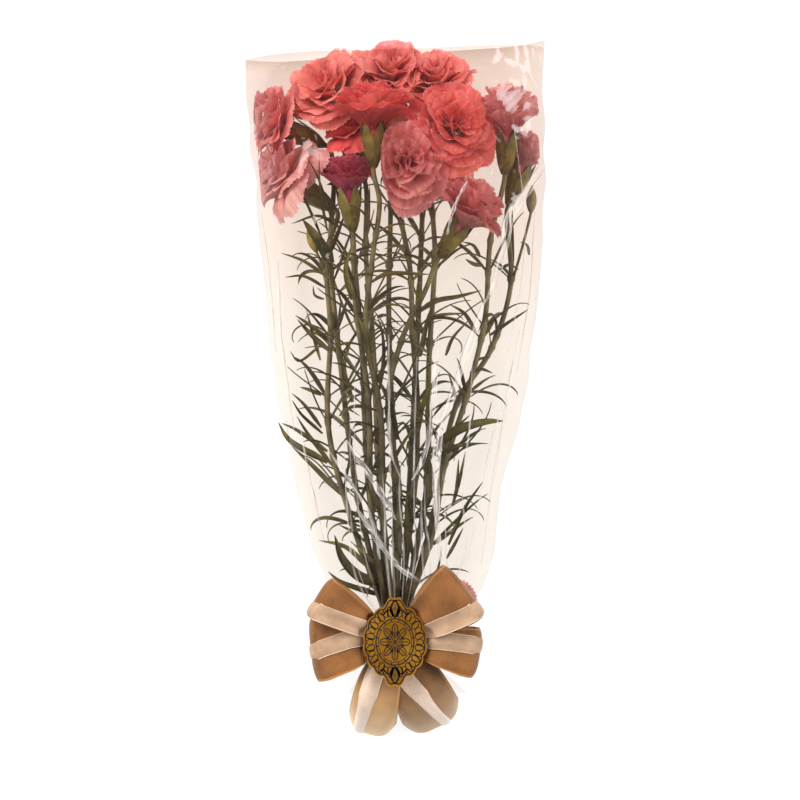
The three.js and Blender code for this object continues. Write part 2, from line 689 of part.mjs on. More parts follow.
// Grows opposite pairs of leaves up each stem, and draws a leaf again where it would touch
function growLeaves() {
  const draw = draws(20261);
  const grown = [];
  STEMS.forEach((curve, owner) => {
    const length = curve.getLength();
    const from = 62 + 14 * draw();
    const to = length - 44;
    let pair = 0;
    for (let distance = from; distance < to; distance += NODE_SPACING * mix(0.8, 1.15, draw())) {
      const share = distance / length;
      const tangent = curve.getTangentAt(share);
      const root = curve.getPointAt(share);
      const flatSide = new THREE.Vector3(0, 0, 1).cross(tangent).normalize();
      const upSide = tangent.clone().cross(flatSide);
      for (const side of [0, Math.PI]) {
        for (let attempt = 0; attempt < 24; attempt += 1) {
          const angle = side + (pair % 2) * 0.9 + mix(-0.7, 0.7, draw());
          const outward = flatSide.clone().multiplyScalar(Math.cos(angle))
            .addScaledVector(upSide, Math.sin(angle));
          const lift = mix(0.45, 0.95, draw());
          const leaf = {
            owner,
            start: root.clone().addScaledVector(outward, STEM_RADIUS * 0.35),
            along: tangent.clone().multiplyScalar(Math.cos(lift)).addScaledVector(outward, Math.sin(lift)),
            away: tangent.clone().multiplyScalar(-Math.sin(lift)).addScaledVector(outward, Math.cos(lift)),
            length: mix(44, 84, draw()) * mix(1.05, 0.72, share),
            width: mix(4, 6.4, draw()) * mix(1.1, 0.75, share),
            turn: mix(-0.4, 1.1, draw()),
            curl: mix(-0.6, 1.4, draw()),
            roll: mix(-1.2, 1.2, draw()),
          };
          leaf.path = leafPath(leaf, LEAF_CHAIN);
          const inside = leafPath(leaf, LEAF_FINE_STEPS).every((p) => roomInSleeve(p) > LEAF_ROOM);
          if (inside && leafFits(leaf.path, leaf.width, owner, grown)) {
            grown.push(leaf);
            break;
          }
        }
      }
      pair += 1;
    }
  });
  return grown;
}

const LEAVES = growLeaves();

function leafyStem(flower, i) {
  const solids = [tube(STEMS[i], STEM_RADIUS, STEM_STEPS), calyxSolid(FRAMES[i])];
  BUDS.forEach((bud, k) => {
    if (bud.flower === flower.name) solids.push(...BUD_PARTS[k].solids);
  });
  solids.push(...LEAVES.filter((leaf) => leaf.owner === i).map(leafSolid));
  return joined(solids);
}

// The sleeve

// One ring of the sleeve, from its left seam over the top to its right seam and back below
function sleeveRing(station, inset) {
  const middle = (station.left + station.right) / 2;
  const half = (station.right - station.left) / 2;
  const side = SLEEVE_POINTS / 2;
  const outline = [];
  for (let k = 0; k < SLEEVE_POINTS; k += 1) {
    const over = k <= side;
    const u = -Math.cos((over ? k / side : (k - side) / side) * Math.PI) * (over ? 1 : -1);
    const heights = filmHeights(station, u);
    outline.push(new THREE.Vector2(middle + half * u, over ? heights.high : heights.low));
  }
  return outline.map((point, k) => {
    const before = outline[(k + SLEEVE_POINTS - 1) % SLEEVE_POINTS];
    const after = outline[(k + 1) % SLEEVE_POINTS];
    const into = point.clone().sub(before).normalize();
    const out = after.clone().sub(point).normalize();
    const mitre = new THREE.Vector2(into.y + out.y, -into.x - out.x).normalize();
    const stretch = Math.max(0.45, mitre.dot(new THREE.Vector2(into.y, -into.x)));
    const moved = point.clone().addScaledVector(mitre, inset / stretch);
    return new THREE.Vector3(moved.x, station.y + station.lean * moved.x, moved.y);
  });
}

function sleeve() {
  const outer = SLEEVE_STATIONS.map((station) => sleeveRing(station, 0));
  const inner = SLEEVE_STATIONS.map((station) => sleeveRing(station, FILM)).reverse();
  return ringLoft([...outer, ...inner]);
}

// The tie: a band of ribbon round the neck
function tie() {
  const neck = SLEEVE_STATIONS.find((station) => station.y < -190);
  const ends = [TIE_Y + TIE_LENGTH / 2, TIE_Y - TIE_LENGTH / 2];
  const ring = (y, inset) => sleeveRing({ ...neck, y }, inset);
  return ringLoft([
    ring(ends[0], -TIE_GAP), ring(ends[1], -TIE_GAP),
    ring(ends[1], -TIE_GAP - TIE_WALL), ring(ends[0], -TIE_GAP - TIE_WALL),
  ]);
}

// The bow

// A strip of ribbon along a path given from the side, with its middle shifted across and out
function ribbonStrip(strip, side, heightOf) {
  const { angle, from, reach, rootHalf, endHalf, shift, lift, thickness, bandHalf } = strip;
  const way = new THREE.Vector3(Math.cos(angle), Math.sin(angle), 0);
  const across = new THREE.Vector3(-way.y, way.x, 0);
  const middle = side.map(([share, height]) => new THREE.Vector3(BOW_X, BOW_Y, 0)
    .addScaledVector(way, mix(from, reach, share)).setZ(heightOf(share, height)));
  const rows = middle.map((p, j) => {
    const before = middle[Math.max(j - 1, 0)];
    const after = middle[Math.min(j + 1, middle.length - 1)];
    const normal = across.clone().cross(after.clone().sub(before)).normalize();
    const half = mix(rootHalf, endHalf, side[j][0]);
    const centre = p.clone().addScaledVector(normal, lift).addScaledVector(across, shift * half);
    return { centre, half: bandHalf ? Math.min(bandHalf, half * (1 - Math.abs(shift))) : half };
  });
  const edge = (s) => rows.map(({ centre, half }) => centre.clone().addScaledVector(across, s * half));
  return blade([edge(-1), edge(1)], thickness, false);
}

function loopStrip(loop, narrow) {
  return ribbonStrip({
    angle: THREE.MathUtils.degToRad(loop.angle),
    from: KNOT_RADIUS + (narrow ? BAND_ROOT_GAPS : ROOT_GAPS) * RIBBON_GAP,
    reach: loop.reach,
    rootHalf: loop.root,
    endHalf: loop.fold,
    shift: narrow ? loop.band : 0,
    lift: narrow ? BAND_LIFT : 0,
    thickness: narrow ? BAND : RIBBON,
    bandHalf: narrow ? BAND_HALF : 0,
  }, LOOP_SIDE, (share, height) => LOOP_ROOT_Z + share * loop.reach * loop.tilt + height);
}

function tailStrip(tail, narrow) {
  return ribbonStrip({
    angle: THREE.MathUtils.degToRad(tail.angle),
    from: KNOT_RADIUS + (narrow ? BAND_ROOT_GAPS : ROOT_GAPS) * RIBBON_GAP,
    reach: tail.reach,
    rootHalf: tail.root,
    endHalf: tail.end,
    shift: narrow ? tail.band : 0,
    lift: narrow ? -BAND_LIFT : 0,
    thickness: narrow ? BAND : RIBBON,
    bandHalf: narrow ? BAND_HALF : 0,
  }, TAIL_SIDE, (share, height) => tail.z * height);
}

function knot() {
  const profile = [
    [0, KNOT_LOW], [KNOT_RADIUS - 2, KNOT_LOW], [KNOT_RADIUS, KNOT_LOW + 4],
    [KNOT_RADIUS, KNOT_HIGH - 4], [KNOT_RADIUS - 2, KNOT_HIGH], [0, KNOT_HIGH],
  ].map(([r, z]) => new THREE.Vector2(r, z));
  const geometry = new THREE.LatheGeometry(profile, KNOT_SIDES);
  geometry.rotateX(Math.PI / 2);
  geometry.translate(BOW_X, BOW_Y, 0);
  return joined([geometry]);
}

// A flat star in an ellipse, whose inner points lie a share of the radius back from its tips
function starSolid(points, halfWidth, halfHeight, depth, thickness) {
  const outline = Array.from({ length: points * 2 }, (_, k) => {
    const angle = (k / (points * 2)) * Math.PI * 2;
    const reach = k % 2 === 0 ? 1 : 1 - depth;
    return new THREE.Vector2(halfWidth * reach * Math.cos(angle), halfHeight * reach * Math.sin(angle));
  });
  return new THREE.ExtrudeGeometry(new THREE.Shape(outline), { depth: thickness, bevelEnabled: false });
}

// The badge: a scalloped plate with a raised rosette
function badge() {
  const plate = starSolid(SCALLOPS, BADGE_WIDTH / 2, BADGE_HEIGHT / 2, SCALLOP_DEPTH, BADGE_THICKNESS);
  const rosette = starSolid(
    ROSETTE_PETALS, ROSETTE_RADIUS, ROSETTE_RADIUS, ROSETTE_DEPTH, BADGE_THICKNESS + ROSETTE_RISE);
  const both = joined([plate, rosette]);
  both.translate(BOW_X, BOW_Y, BADGE_LOW);
  return both;
}

// A single petal that has slipped down inside the sleeve, and lies on its lower film
function loosePetal() {
  const grid = [];
  for (let i = 0; i <= PETAL_COLUMNS + 1; i += 1) {
    const angle = 0.75 + (i / 2 - 1) * 0.6;
    grid.push([2, 12, 21].map((distance, j) => {
      const x = LOOSE_PETAL_ROOT[0] + distance * Math.cos(angle);
      const y = LOOSE_PETAL_ROOT[1] + distance * Math.sin(angle);
      const section = sleeveAt(y);
      const u = (2 * x - section.left - section.right) / (section.right - section.left);
      return new THREE.Vector3(x, y, filmHeights(section, u).low + LOOSE_PETAL_LIFT + (i % 2) * 0.6 * j);
    }));
  }
  return blade(grid, PETAL_THICKNESS, true);
}

// The whole bunch

const bunch = new THREE.Group();

function add(name, geometry, color, roughness, metalness = 0, opacity = 1) {
  const material = new THREE.MeshStandardMaterial({ color, roughness, metalness });
  material.transparent = opacity < 1;
  material.opacity = opacity;
  const mesh = new THREE.Mesh(geometry, material);
  mesh.name = name;
  bunch.add(mesh);
}

FLOWERS.forEach((flower, i) => {
  add(`bloom_${flower.name}`, bloom(flower, i), flower.color, 0.75);
  add(`stem_${flower.name}`, leafyStem(flower, i), STEM_GREEN, 0.7);
});
add('loose_petal', loosePetal(), CORAL, 0.75);
add('sleeve', sleeve(), FILM_CREAM, 0.1, 0, 0.25);
add('tie_band', tie(), RIBBON_BROWN, 0.5);
add('bow_knot', knot(), RIBBON_BROWN, 0.5);
for (const loop of LOOPS) {
  add(`loop_${loop.name}`, loopStrip(loop, false), RIBBON_BROWN, 0.5);
  add(`loop_band_${loop.name}`, loopStrip(loop, true), BAND_BEIGE, 0.6);
}
for (const tail of TAILS) {
  add(`tail_${tail.name}`, tailStrip(tail, false), RIBBON_BROWN, 0.5);
  add(`tail_band_${tail.name}`, tailStrip(tail, true), BAND_BEIGE, 0.6);
}
add('badge', badge(), BADGE_GOLD, 0.3, 1);

export default bunch;
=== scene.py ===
"""A bunch of carnations in a clear film sleeve, tied with a ribbon bow and a gilt badge.

Sizes are in millimetres in the frame of the part, and become metres where a mesh is made.
"""

import math
import random

import bpy
import numpy as np
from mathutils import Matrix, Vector, noise


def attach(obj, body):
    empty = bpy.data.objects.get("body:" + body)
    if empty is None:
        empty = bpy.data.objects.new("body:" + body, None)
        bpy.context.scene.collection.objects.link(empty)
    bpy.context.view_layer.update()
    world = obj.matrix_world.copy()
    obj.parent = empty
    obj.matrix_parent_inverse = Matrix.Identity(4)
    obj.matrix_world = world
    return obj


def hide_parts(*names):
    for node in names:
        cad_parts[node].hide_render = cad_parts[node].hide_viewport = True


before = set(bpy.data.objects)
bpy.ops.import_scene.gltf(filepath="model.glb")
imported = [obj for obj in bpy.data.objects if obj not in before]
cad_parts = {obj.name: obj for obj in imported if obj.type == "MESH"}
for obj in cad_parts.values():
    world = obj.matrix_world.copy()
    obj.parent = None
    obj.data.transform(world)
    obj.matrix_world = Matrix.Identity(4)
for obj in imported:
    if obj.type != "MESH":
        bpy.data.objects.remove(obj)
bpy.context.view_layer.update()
MM = 0.001

# Flowers, as in the part
BLOOM_RADIUS = 28
CALYX_LENGTH = 28
CALYX_RADIUS = 7
BLOOM_CENTRE_HEIGHT = 14
SIDE_FROM = (0.3, -0.2, 0.93)
STEM_RADIUS = 2.2
STEM_END_Y = -256
STEM_SWAY = 3
SWAY_PITCH = 27
STEM_FLARE = 1.3
TIE_Y = -204
TIE_LENGTH = 20

# name: centre of the petals, axis, radius, roll, palette, rings of petals, stem at the tie, stem route
FLOWERS = {
    "far_left": ((-97, 216, 45), (-0.85, 0.4, 0.3), 31, 0.2, "rose", 6, (-7.2, 12.8),
                 [(-31, -80, 20), (-46, 20, 24), (-50, 110, 26), (-50, 175, 28)]),
    "low_left": ((-88, 172, 50), (-0.82, 0.57, 0.2), 34, 0.9, "pale", 6, (-4.8, 17.4),
                 [(-36, -104, 24), (-52, -30, 36), (-54, 48, 42), (-52, 110, 44)]),
    "top_left": ((-52, 240, 50), (-0.3, 0.6, 0.7), 32, 0.1, "blush", 7, (-4.8, 8.2),
                 [(-19, -80, 11.5), (-29, 40, 12), (-36, 140, 12), (-41, 190, 13)]),
    "shaded": ((-38, 208, 43), (-0.3, 0.9, 0.2), 24, 0.6, "deep", 6, (-2.4, 12.8),
               [(-10, -80, 16), (-18, 40, 20), (-22, 110, 22)]),
    "half_open": ((-38, 170, 62), (-0.1, 1, 0.1), 27, 0.4, "magenta", 6, (-5.4, 22),
                  [(-17, -100, 32), (-24, -10, 45), (-29, 72, 52)]),
    "front": ((-17, 224, 78), (0, 1, 0.1), 35, 0.3, "deep", 7, (-0.7, 22),
              [(-8, -100, 35), (-14, -24, 48), (-20, 48, 58), (-19, 104, 63), (-15, 150, 69)]),
    "top_middle": ((-4, 252, 45), (0, 0.7, 0.7), 31, 0.8, "blush", 7, (0, 8.2),
                   [(-1, -80, 11), (-3, 60, 11), (-4, 160, 11)]),
    "facing": ((9, 181, 76), (0.12, 0.12, 0.98), 34, 0.5, "rose", 7, (2.4, 12.8),
               [(14, -70, 20), (19, -8, 25), (16, 48, 28), (9, 100, 26), (3, 140, 20), (1, 163, 20)]),
    "top_right": ((33, 247, 44), (0.15, 0.75, 0.6), 29, 0.2, "blush", 6, (4.8, 8.2),
                  [(9, -80, 11), (18, 60, 11), (24, 150, 11)]),
    "right_middle": ((46, 208, 70), (0.2, 0.4, 0.9), 35, 0.7, "coral", 7, (4.8, 17.4),
                     [(23, -80, 23), (29, 20, 24), (31, 110, 22), (33, 165, 19)]),
    "low_right": ((60, 144, 66), (0.54, 0.84, 0.25), 31, 0.1, "rose", 7, (0, 17.4),
                  [(2, -80, 36), (-3, -10, 44), (4, 42, 50), (22, 80, 54)]),
    "far_right": ((90, 218, 58), (0.05, 1, 0.15), 31, 0.5, "rose", 7, (3.9, 22),
                  [(28, -120, 29), (42, -60, 36), (58, -8, 43), (69, 56, 48), (79, 120, 52)]),
    "side_right": ((105, 189, 37), (0.3, 0.9, 0.05), 24, 0.9, "rose", 6, (7.2, 12.8),
                   [(31, -100, 17), (50, -12, 26), (74, 32, 29), (94, 84, 30)]),
}

# Side buds: share of the stem, tip, axis
BUDS = {
    "side_right": (0.83, (110, 164, 46), (0.05, 1, 0.1)),
    "low_left": (0.86, (-70, 131, 52), (-0.35, 1, 0.1)),
}
BUD_LENGTH = 22
BUD_RADIUS = 4.4

# The rings of petals from the outside in, for a bloom of the full radius: how many petals, distance
# and height of the root, the middle and the rim, half width, ruffle and cup
PETAL_RINGS = [
    (5, (7, 0.5), (20, 7.5), (35.5, 8.5), 23, 1.5, 0.02),
    (5, (6.4, 1.5), (18.5, 12), (33.5, 15), 22, 1.9, 0.04),
    (5, (5.4, 3), (16.5, 16.5), (30, 21), 21, 2.4, 0.06),
    (4, (4.6, 5), (13.5, 20), (25, 26.5), 19, 2.8, 0.09),
    (4, (3.8, 7), (10, 22.5), (19, 30), 16.5, 3, 0.12),
    (4, (2.6, 9), (6.5, 24), (12.5, 32), 13.5, 3, 0.16),
    (3, (1.2, 10), (3, 23.5), (6, 31), 10, 2.6, 0.18),
]
# The same rings' middles and rims where a bloom is seen from the side, so that its petals stand as a fan
FANNED_RINGS = [
    ((15.5, 13), (29, 24)),
    ((13.5, 15.5), (27, 28)),
    ((11.5, 18), (23, 31)),
    ((9.5, 20), (18.5, 33)),
    ((7.2, 22), (13.5, 34)),
    ((4.8, 23.5), (8.5, 35)),
    ((2.4, 24), (4.5, 35)),
]
# How far a bloom is seen from the side, how much shorter it is for that, and how far its outer petals
# hang back at the rim
UPRIGHT = {
    "far_left": 0.4, "low_left": 0.2, "shaded": 0.35, "half_open": 0.9, "front": 0.9, "low_right": 0.6,
    "far_right": 1, "side_right": 1,
}
SHORTENED = {"front": 0.8, "half_open": 0.9}
HANGING = {"low_left": 18, "shaded": 22, "far_left": 8, "low_right": 8}
PETAL_COLUMNS = 33
PETAL_ROWS = 12
TOOTH = 0.04
# The bundle of petal roots that shows in the calyx's notches: distance and height
THROAT = [(5.5, -14), (7.1, -7), (6.8, 2), (4.2, 8), (1.5, 13)]
THROAT_SIDES = 24
CALYX_PROFILE = [(2, -28.5), (4, -27), (6, -23.5), (7.3, -18), (8.4, -10), (9, -4), (9.4, 0)]
CALYX_SIDES = 60
CALYX_NOTCH = 9
CALYX_FLOOR = -14
CALYX_FOOT = -29
CALYX_TALL = 37
CALYX_SCALES = 4
NODE_SWELLING = 0.9
NODE_REACH = 2.6
STALK_RADIUS = 1.1

# Petal colours on the screen: root, darker partly in its own colour and partly by painted shade; body; a
# painted glow of light coming through, which also tints the translucency; and rim
PETAL_COLOURS = {
    "coral": ((186, 48, 58), (250, 127, 131), (253, 158, 142), (248, 172, 174)),
    "rose": ((192, 82, 94), (252, 169, 174), (253, 191, 182), (253, 207, 212)),
    "deep": ((174, 38, 50), (247, 106, 112), (252, 136, 124), (248, 156, 162)),
    "blush": ((204, 82, 88), (248, 147, 146), (252, 176, 160), (252, 194, 196)),
    "pale": ((206, 108, 118), (254, 196, 199), (254, 212, 205), (254, 224, 227)),
    "magenta": ((148, 36, 100), (204, 70, 102), (222, 108, 134), (236, 152, 178)),
}

# Leaves that stand out in the photograph: width in mm, share of the sleeve's height, and points in pixels
# from the root to the tip
PLACED_LEAVES = [
    (3.2, 0.6, [(329, 278), (303, 261), (281, 253)]),
    (3, 0.55, [(326, 288), (303, 276), (285, 277)]),
    (2.6, 0.6, [(324, 299), (315, 295), (313, 286)]),
    (4, 0.6, [(330, 341), (311, 326), (295, 315)]),
    (4.8, 0.65, [(330, 351), (313, 336), (297, 319)]),
    (3, 0.5, [(320, 360), (311, 328), (306, 310)]),
    (2.6, 0.6, [(321, 345), (298, 361), (290, 351)]),
    (3.4, 0.6, [(321, 395), (310, 390), (299, 387)]),
    (3.4, 0.6, [(321, 428), (303, 404), (291, 393)]),
    (3.2, 0.5, [(322, 434), (300, 414), (291, 400)]),
    (3.4, 0.7, [(340, 290), (363, 275), (380, 277)]),
    (4, 0.7, [(371, 283), (386, 275), (430, 275)]),
    (4, 0.7, [(405, 250), (396, 247), (384, 250)]),
    (3.4, 0.7, [(371, 311), (391, 305), (410, 309)]),
    (4.8, 0.72, [(415, 314), (436, 301), (457, 297), (481, 291)]),
    (4, 0.66, [(424, 328), (438, 316), (467, 313)]),
    (3.4, 0.6, [(476, 332), (464, 313), (449, 304)]),
    (3.2, 0.7, [(480, 257), (472, 246), (462, 243)]),
    (3.6, 0.7, [(481, 266), (473, 264), (465, 260)]),
    (2.6, 0.65, [(499, 270), (509, 265), (519, 270)]),
    (2.6, 0.65, [(473, 362), (482, 358), (491, 357)]),
    (3.2, 0.65, [(470, 373), (480, 369), (493, 373)]),
    (2.6, 0.6, [(530, 254), (527, 245), (520, 242)]),
    (3.2, 0.6, [(490, 335), (510, 321), (529, 309)]),
    (3.2, 0.7, [(446, 355), (454, 336), (470, 319)]),
    (3.2, 0.7, [(428, 352), (409, 342), (395, 343)]),
    (2.8, 0.6, [(339, 322), (340, 310), (341, 299)]),
    (2.8, 0.7, [(339, 416), (348, 409), (360, 416)]),
    (2.8, 0.7, [(343, 401), (351, 396), (363, 404)]),
    (2.8, 0.7, [(343, 393), (353, 389), (363, 396)]),
    (3, 0.7, [(377, 316), (389, 317), (402, 327)]),
    (3, 0.7, [(450, 431), (460, 424), (471, 414)]),
    (8.4, 0.72, [(437, 445), (460, 429), (484, 422), (504, 421)]),
    (4.6, 0.7, [(438, 462), (454, 447), (481, 443)]),
    (3.6, 0.6, [(449, 546), (465, 510), (484, 482)]),
    (3.4, 0.66, [(453, 506), (461, 476), (466, 451)]),
    (2.8, 0.66, [(456, 496), (458, 478), (459, 459)]),
    (3, 0.6, [(447, 560), (456, 544), (464, 529)]),
    (6, 0.55, [(327, 463), (288, 440), (277, 422)]),
    (4.4, 0.6, [(327, 452), (295, 430), (280, 423)]),
    (5, 0.55, [(343, 497), (311, 465), (290, 446)]),
    (3.8, 0.6, [(333, 467), (308, 435), (296, 416)]),
    (9.5, 0.7, [(380, 588), (356, 577), (341, 559), (334, 536)]),
    (4.4, 0.6, [(371, 572), (345, 548), (318, 542)]),
    (5, 0.55, [(380, 598), (340, 584), (327, 574)]),
    (3.2, 0.6, [(364, 543), (353, 533), (338, 526)]),
    (3.6, 0.6, [(388, 578), (369, 559), (349, 542)]),
    (3.6, 0.7, [(391, 544), (411, 533), (430, 527)]),
    (3, 0.75, [(389, 494), (399, 484), (408, 488)]),
    (3.2, 0.75, [(392, 504), (407, 501), (422, 512)]),
    (3.4, 0.7, [(345, 460), (360, 461), (377, 477)]),
    (2.4, 0.8, [(322, 238), (305, 200), (289, 172)]),
    (2.4, 0.8, [(327, 230), (321, 190), (320, 155)]),
    (2.2, 0.8, [(330, 215), (318, 178), (308, 160)]),
    (10, 0.72, [(331, 262), (318, 240), (303, 220)]),
    (3, 0.75, [(341, 228), (318, 217), (292, 225)]),
    (5, 0.7, [(352, 300), (346, 270), (352, 246)]),
    (5.5, 0.7, [(372, 372), (366, 336), (356, 312)]),
    (5, 0.72, [(420, 356), (428, 318), (437, 296)]),
    (6, 0.72, [(398, 440), (388, 398), (374, 372)]),
    (5.5, 0.72, [(414, 436), (426, 396), (440, 372)]),
    (5, 0.7, [(352, 402), (344, 366), (352, 338)]),
    (6, 0.68, [(384, 520), (370, 484), (372, 452)]),
    (5.5, 0.7, [(420, 520), (432, 486), (428, 452)]),
]

# How the blooms give way to each other and to the film
NEIGHBOUR_REACH = 10
PETAL_GAP = -7
STEM_GAP = 0.4
NEIGHBOUR_SOFT = 12
NEIGHBOUR_YIELD = 0.2
STEM_YIELD = 0.6
FILM_SIDE_SHARE = 0.988
FILM_GAP_OVER = 1.4
FILM_GAP_UNDER = 1
FILM_SOFT = 8
FLOOR_SOFT = 4

# Leaves
LEAF_FINE_STEPS = 24
LEAF_CHAIN = 4
LEAF_MARGIN = 1
LEAF_ROOM = 4.5
NODE_SPACING = 60
LEAF_SEED = 20261
LEAF_THICKNESS = 0.7
LEAF_TRIES = 24
LEAFLESS_END = 44
CURVE_STEPS = 200
# More leaves than in the part
EXTRA_LEAVES = {"spacing": 56, "start": 38, "margin": -2.6, "room": 3, "lengths": (40, 84), "widths": (3, 6),
                "arch": 0.6}
EXTRA_LEAF_FULLER = 1.3

# The sleeve's stations: y, left, right, low, high, flat share, lean
SLEEVE_STATIONS = np.array([
    (274, -121.6, 120, 0, 92, 0.7, 0.065),
    (240, -119, 119.5, 0, 104, 0.7, 0.03),
    (200, -117, 120, 0, 108, 0.7, 0),
    (165, -112, 120.5, 0, 106, 0.7, 0),
    (120, -109, 119, 0, 99, 0.7, 0),
    (60, -104, 113, 0, 87, 0.7, 0),
    (-8, -95, 105, 0, 73, 0.7, 0),
    (-80, -79, 86, 0, 58, 0.66, 0),
    (-130, -67, 80, 0.4, 45, 0.55, 0),
    (-160, -54, 71, 1, 36, 0.4, 0),
    (-180, -34, 60, 1.6, 31, 0.3, 0),
    (-193, -13.5, 13.5, 4.8, 27, 0.3, 0),
    (-215, -13.5, 13.5, 4.8, 27, 0.3, 0),
    (-230, -29, 40, 1.4, 30, 0.3, 0),
    (-246, -38, 57, 0.4, 29, 0.4, 0),
], float)
SEAM_SHARE = 0.35
TOP_CUT = (250, 274)
PLEATS_FROM = -60
PLEATS_FULL = -185
PLEAT_DEPTH = 2.4

# The film's tint in one layer, at shares of its length from the lower end
FILM_TINTS = [
    (0, (0.99, 0.96, 0.92)), (0.55, (0.985, 0.935, 0.885)), (0.8, (0.95, 0.86, 0.802)),
    (0.975, (0.895, 0.793, 0.735)), (1, (0.76, 0.63, 0.55)),
]

# Where white painted glints lie on the upper film: pixel, half width and half length in pixels, strength
GLINT_PATCHES = [
    (518, 122, 17, 24, 1.3), (526, 66, 16, 34, 1), (496, 68, 18, 14, 0.8), (448, 72, 8, 14, 0.8),
    (500, 104, 14, 12, 0.8), (461, 686, 7, 12, 1.4), (262, 330, 16, 40, 0.5), (516, 215, 10, 24, 0.7),
    (278, 172, 26, 26, 0.35),
    (404, 204, 24, 16, 0.55), (260, 122, 18, 28, 0.55), (330, 262, 10, 26, 0.6), (300, 500, 14, 40, 0.5),
    (316, 220, 12, 20, 0.6), (508, 192, 12, 16, 0.6), (438, 430, 10, 50, 0.5), (372, 520, 12, 40, 0.5),
    (288, 432, 10, 14, 0.7), (452, 520, 10, 50, 0.6), (300, 150, 24, 34, 0.4), (500, 560, 16, 30, 0.5),
]

# Folds in the film: half width in mm and points in pixels. More of them fan out of the tie
NECK_CREASES = 11
NECK_CREASE_FOOT = -188
CREASES = [
    (1.9, [(540, 165), (521, 194), (506, 216), (500, 250), (490, 290), (484, 304)]),
    (1.2, [(545, 168), (527, 197), (512, 220), (505, 252), (495, 290)]),
    (3.2, [(484, 300), (470, 340), (452, 395), (438, 440), (436, 500), (441, 562)]),
    (2.4, [(437, 330), (433, 400), (428, 440), (418, 470), (412, 480)]),
    (1.4, [(466, 185), (452, 214), (446, 238)]),
    (1.2, [(389, 335), (389, 400), (392, 455), (404, 485)]),
    (2.8, [(346, 440), (368, 472), (385, 500), (396, 520)]),
    (2.6, [(350, 500), (372, 530), (392, 560), (424, 586)]),
    (2.4, [(434, 455), (436, 500), (440, 560)]),
    (1.6, [(330, 452), (352, 484), (372, 520), (380, 560)]),
    (1.0, [(505, 395), (492, 440), (480, 500), (468, 560)]),
    (1.2, [(279, 262), (281, 330), (288, 390), (294, 430)]),
    (0.6, [(511, 120), (524, 240), (512, 330), (489, 420)]),
    (1.1, [(300, 424), (310, 480), (324, 545)]),
    (1.2, [(519, 330), (505, 410), (494, 480), (482, 566)]),
    (0.9, [(534, 212), (530, 290), (517, 372)]),
    (0.8, [(262, 214), (270, 280), (276, 352)]),
]

# The bow: name, direction in degrees, reach, half width at the fold and at the knot, rise, and the place of
# the woven band across the ribbon, at the knot and at the fold
LOOPS = [
    ("left_upper", 149, 72, 18, 3.1, 0.17, (0.3, 0.62)),
    ("left_lower", 186, 68, 26.5, 4.4, -0.1, (-0.55, 0.08)),
    ("right_upper", 37, 71, 26, 4.4, 0.2, (-0.6, -0.7)),
    ("right_lower", 351, 69, 20, 3.4, -0.1, (0.5, 0.32)),
]
LOOP_ROOT_Z = 43
LOOP_SIDE = [
    (0, -1.6), (0.22, -4.5), (0.5, -9), (0.78, -10), (0.95, -6.5), (1, 0), (0.94, 7), (0.76, 11),
    (0.5, 11), (0.24, 6), (0, 1.6),
]
# name, direction, height, half width at the knot and at the end, reach, band, and how far it swings aside
TAILS = [
    ("left", 254.5, 40, 6, 19.5, 81.5, (-0.3, -0.4), -3),
    ("right", 295.5, 35.5, 6, 24.5, 81, (-0.6, 0.3), 1),
]
TAIL_SIDE = [(0, 1), (0.3, 1), (0.58, 0.93), (0.78, 0.72), (0.92, 0.42), (1, 0.12), (0.95, 0.06)]
KNOT_RADIUS = 12
RIBBON = 0.8
LOOP_LENGTH = 0.125
TAIL_LENGTH = 0.085
BAND = 0.7
RIBBON_GAP = 0.35
BAND_HALF = 7.2
RIBBON_COLUMNS = 33
PLEAT = 1.8
BOW = (0, -201)
# The ribbons' looks: name, colours of the ribs' two sides and of the paler edges, slant across and along,
# depth of the ribs, and a painted light that makes the ribbon paler towards its end: length, power and colour
RIBBON_LOOKS = [
    ("ribbon", ((92, 56, 24), (146, 94, 46), (178, 124, 70)), (3.4, 3.4), 0.3),
    # The tails' ribbons: copies of the ribbon with painted light that grows towards their ends
    ("ribbon_tail_left", ((104, 66, 30), (160, 112, 62), (196, 146, 94)), (3.4, 3.4), 0.3,
     (90, 2, (250, 212, 160))),
    ("ribbon_tail_right", ((88, 56, 26), (138, 94, 52), (180, 132, 84)), (3.4, 3.4), 0.34,
     (98, 3, (244, 210, 168))),
    ("woven_band", ((156, 122, 94), (200, 166, 136), (224, 196, 170)), (0, 4), 0.12),
    # The tails' band: a lighter copy of the woven band, lit by painted light
    ("woven_band_tail", ((184, 154, 128), (228, 200, 176), (240, 218, 198)), (0, 4), 0.12,
     (92, 2, (252, 238, 224))),
]
BADGE_LOW = 55.9
BADGE_THICKNESS = 2
BADGE_WIDTH = 54
BADGE_HEIGHT = 66
BADGE_SIDES = 360
WREATH_LEAVES = 16
INK_HEIGHT = 2.1
INK_THICKNESS = 0.3
LOOSE_PETAL_ROOT = (42, -176)
LOOSE_PETAL_LENGTH = 24.5
LOOSE_PETAL_TURN = 0.6
LOOSE_PETAL_SPREAD = 0.62
LOOSE_PETAL_COLUMNS = 21

# The photograph's frame
PIXEL = 0.8
CENTRE_PIXEL = (395, 390)
PIXELS = 800
VIEW_CENTRE = (4, -8, 50)
CAMERA_HEIGHT = 2500
SENSOR = 36

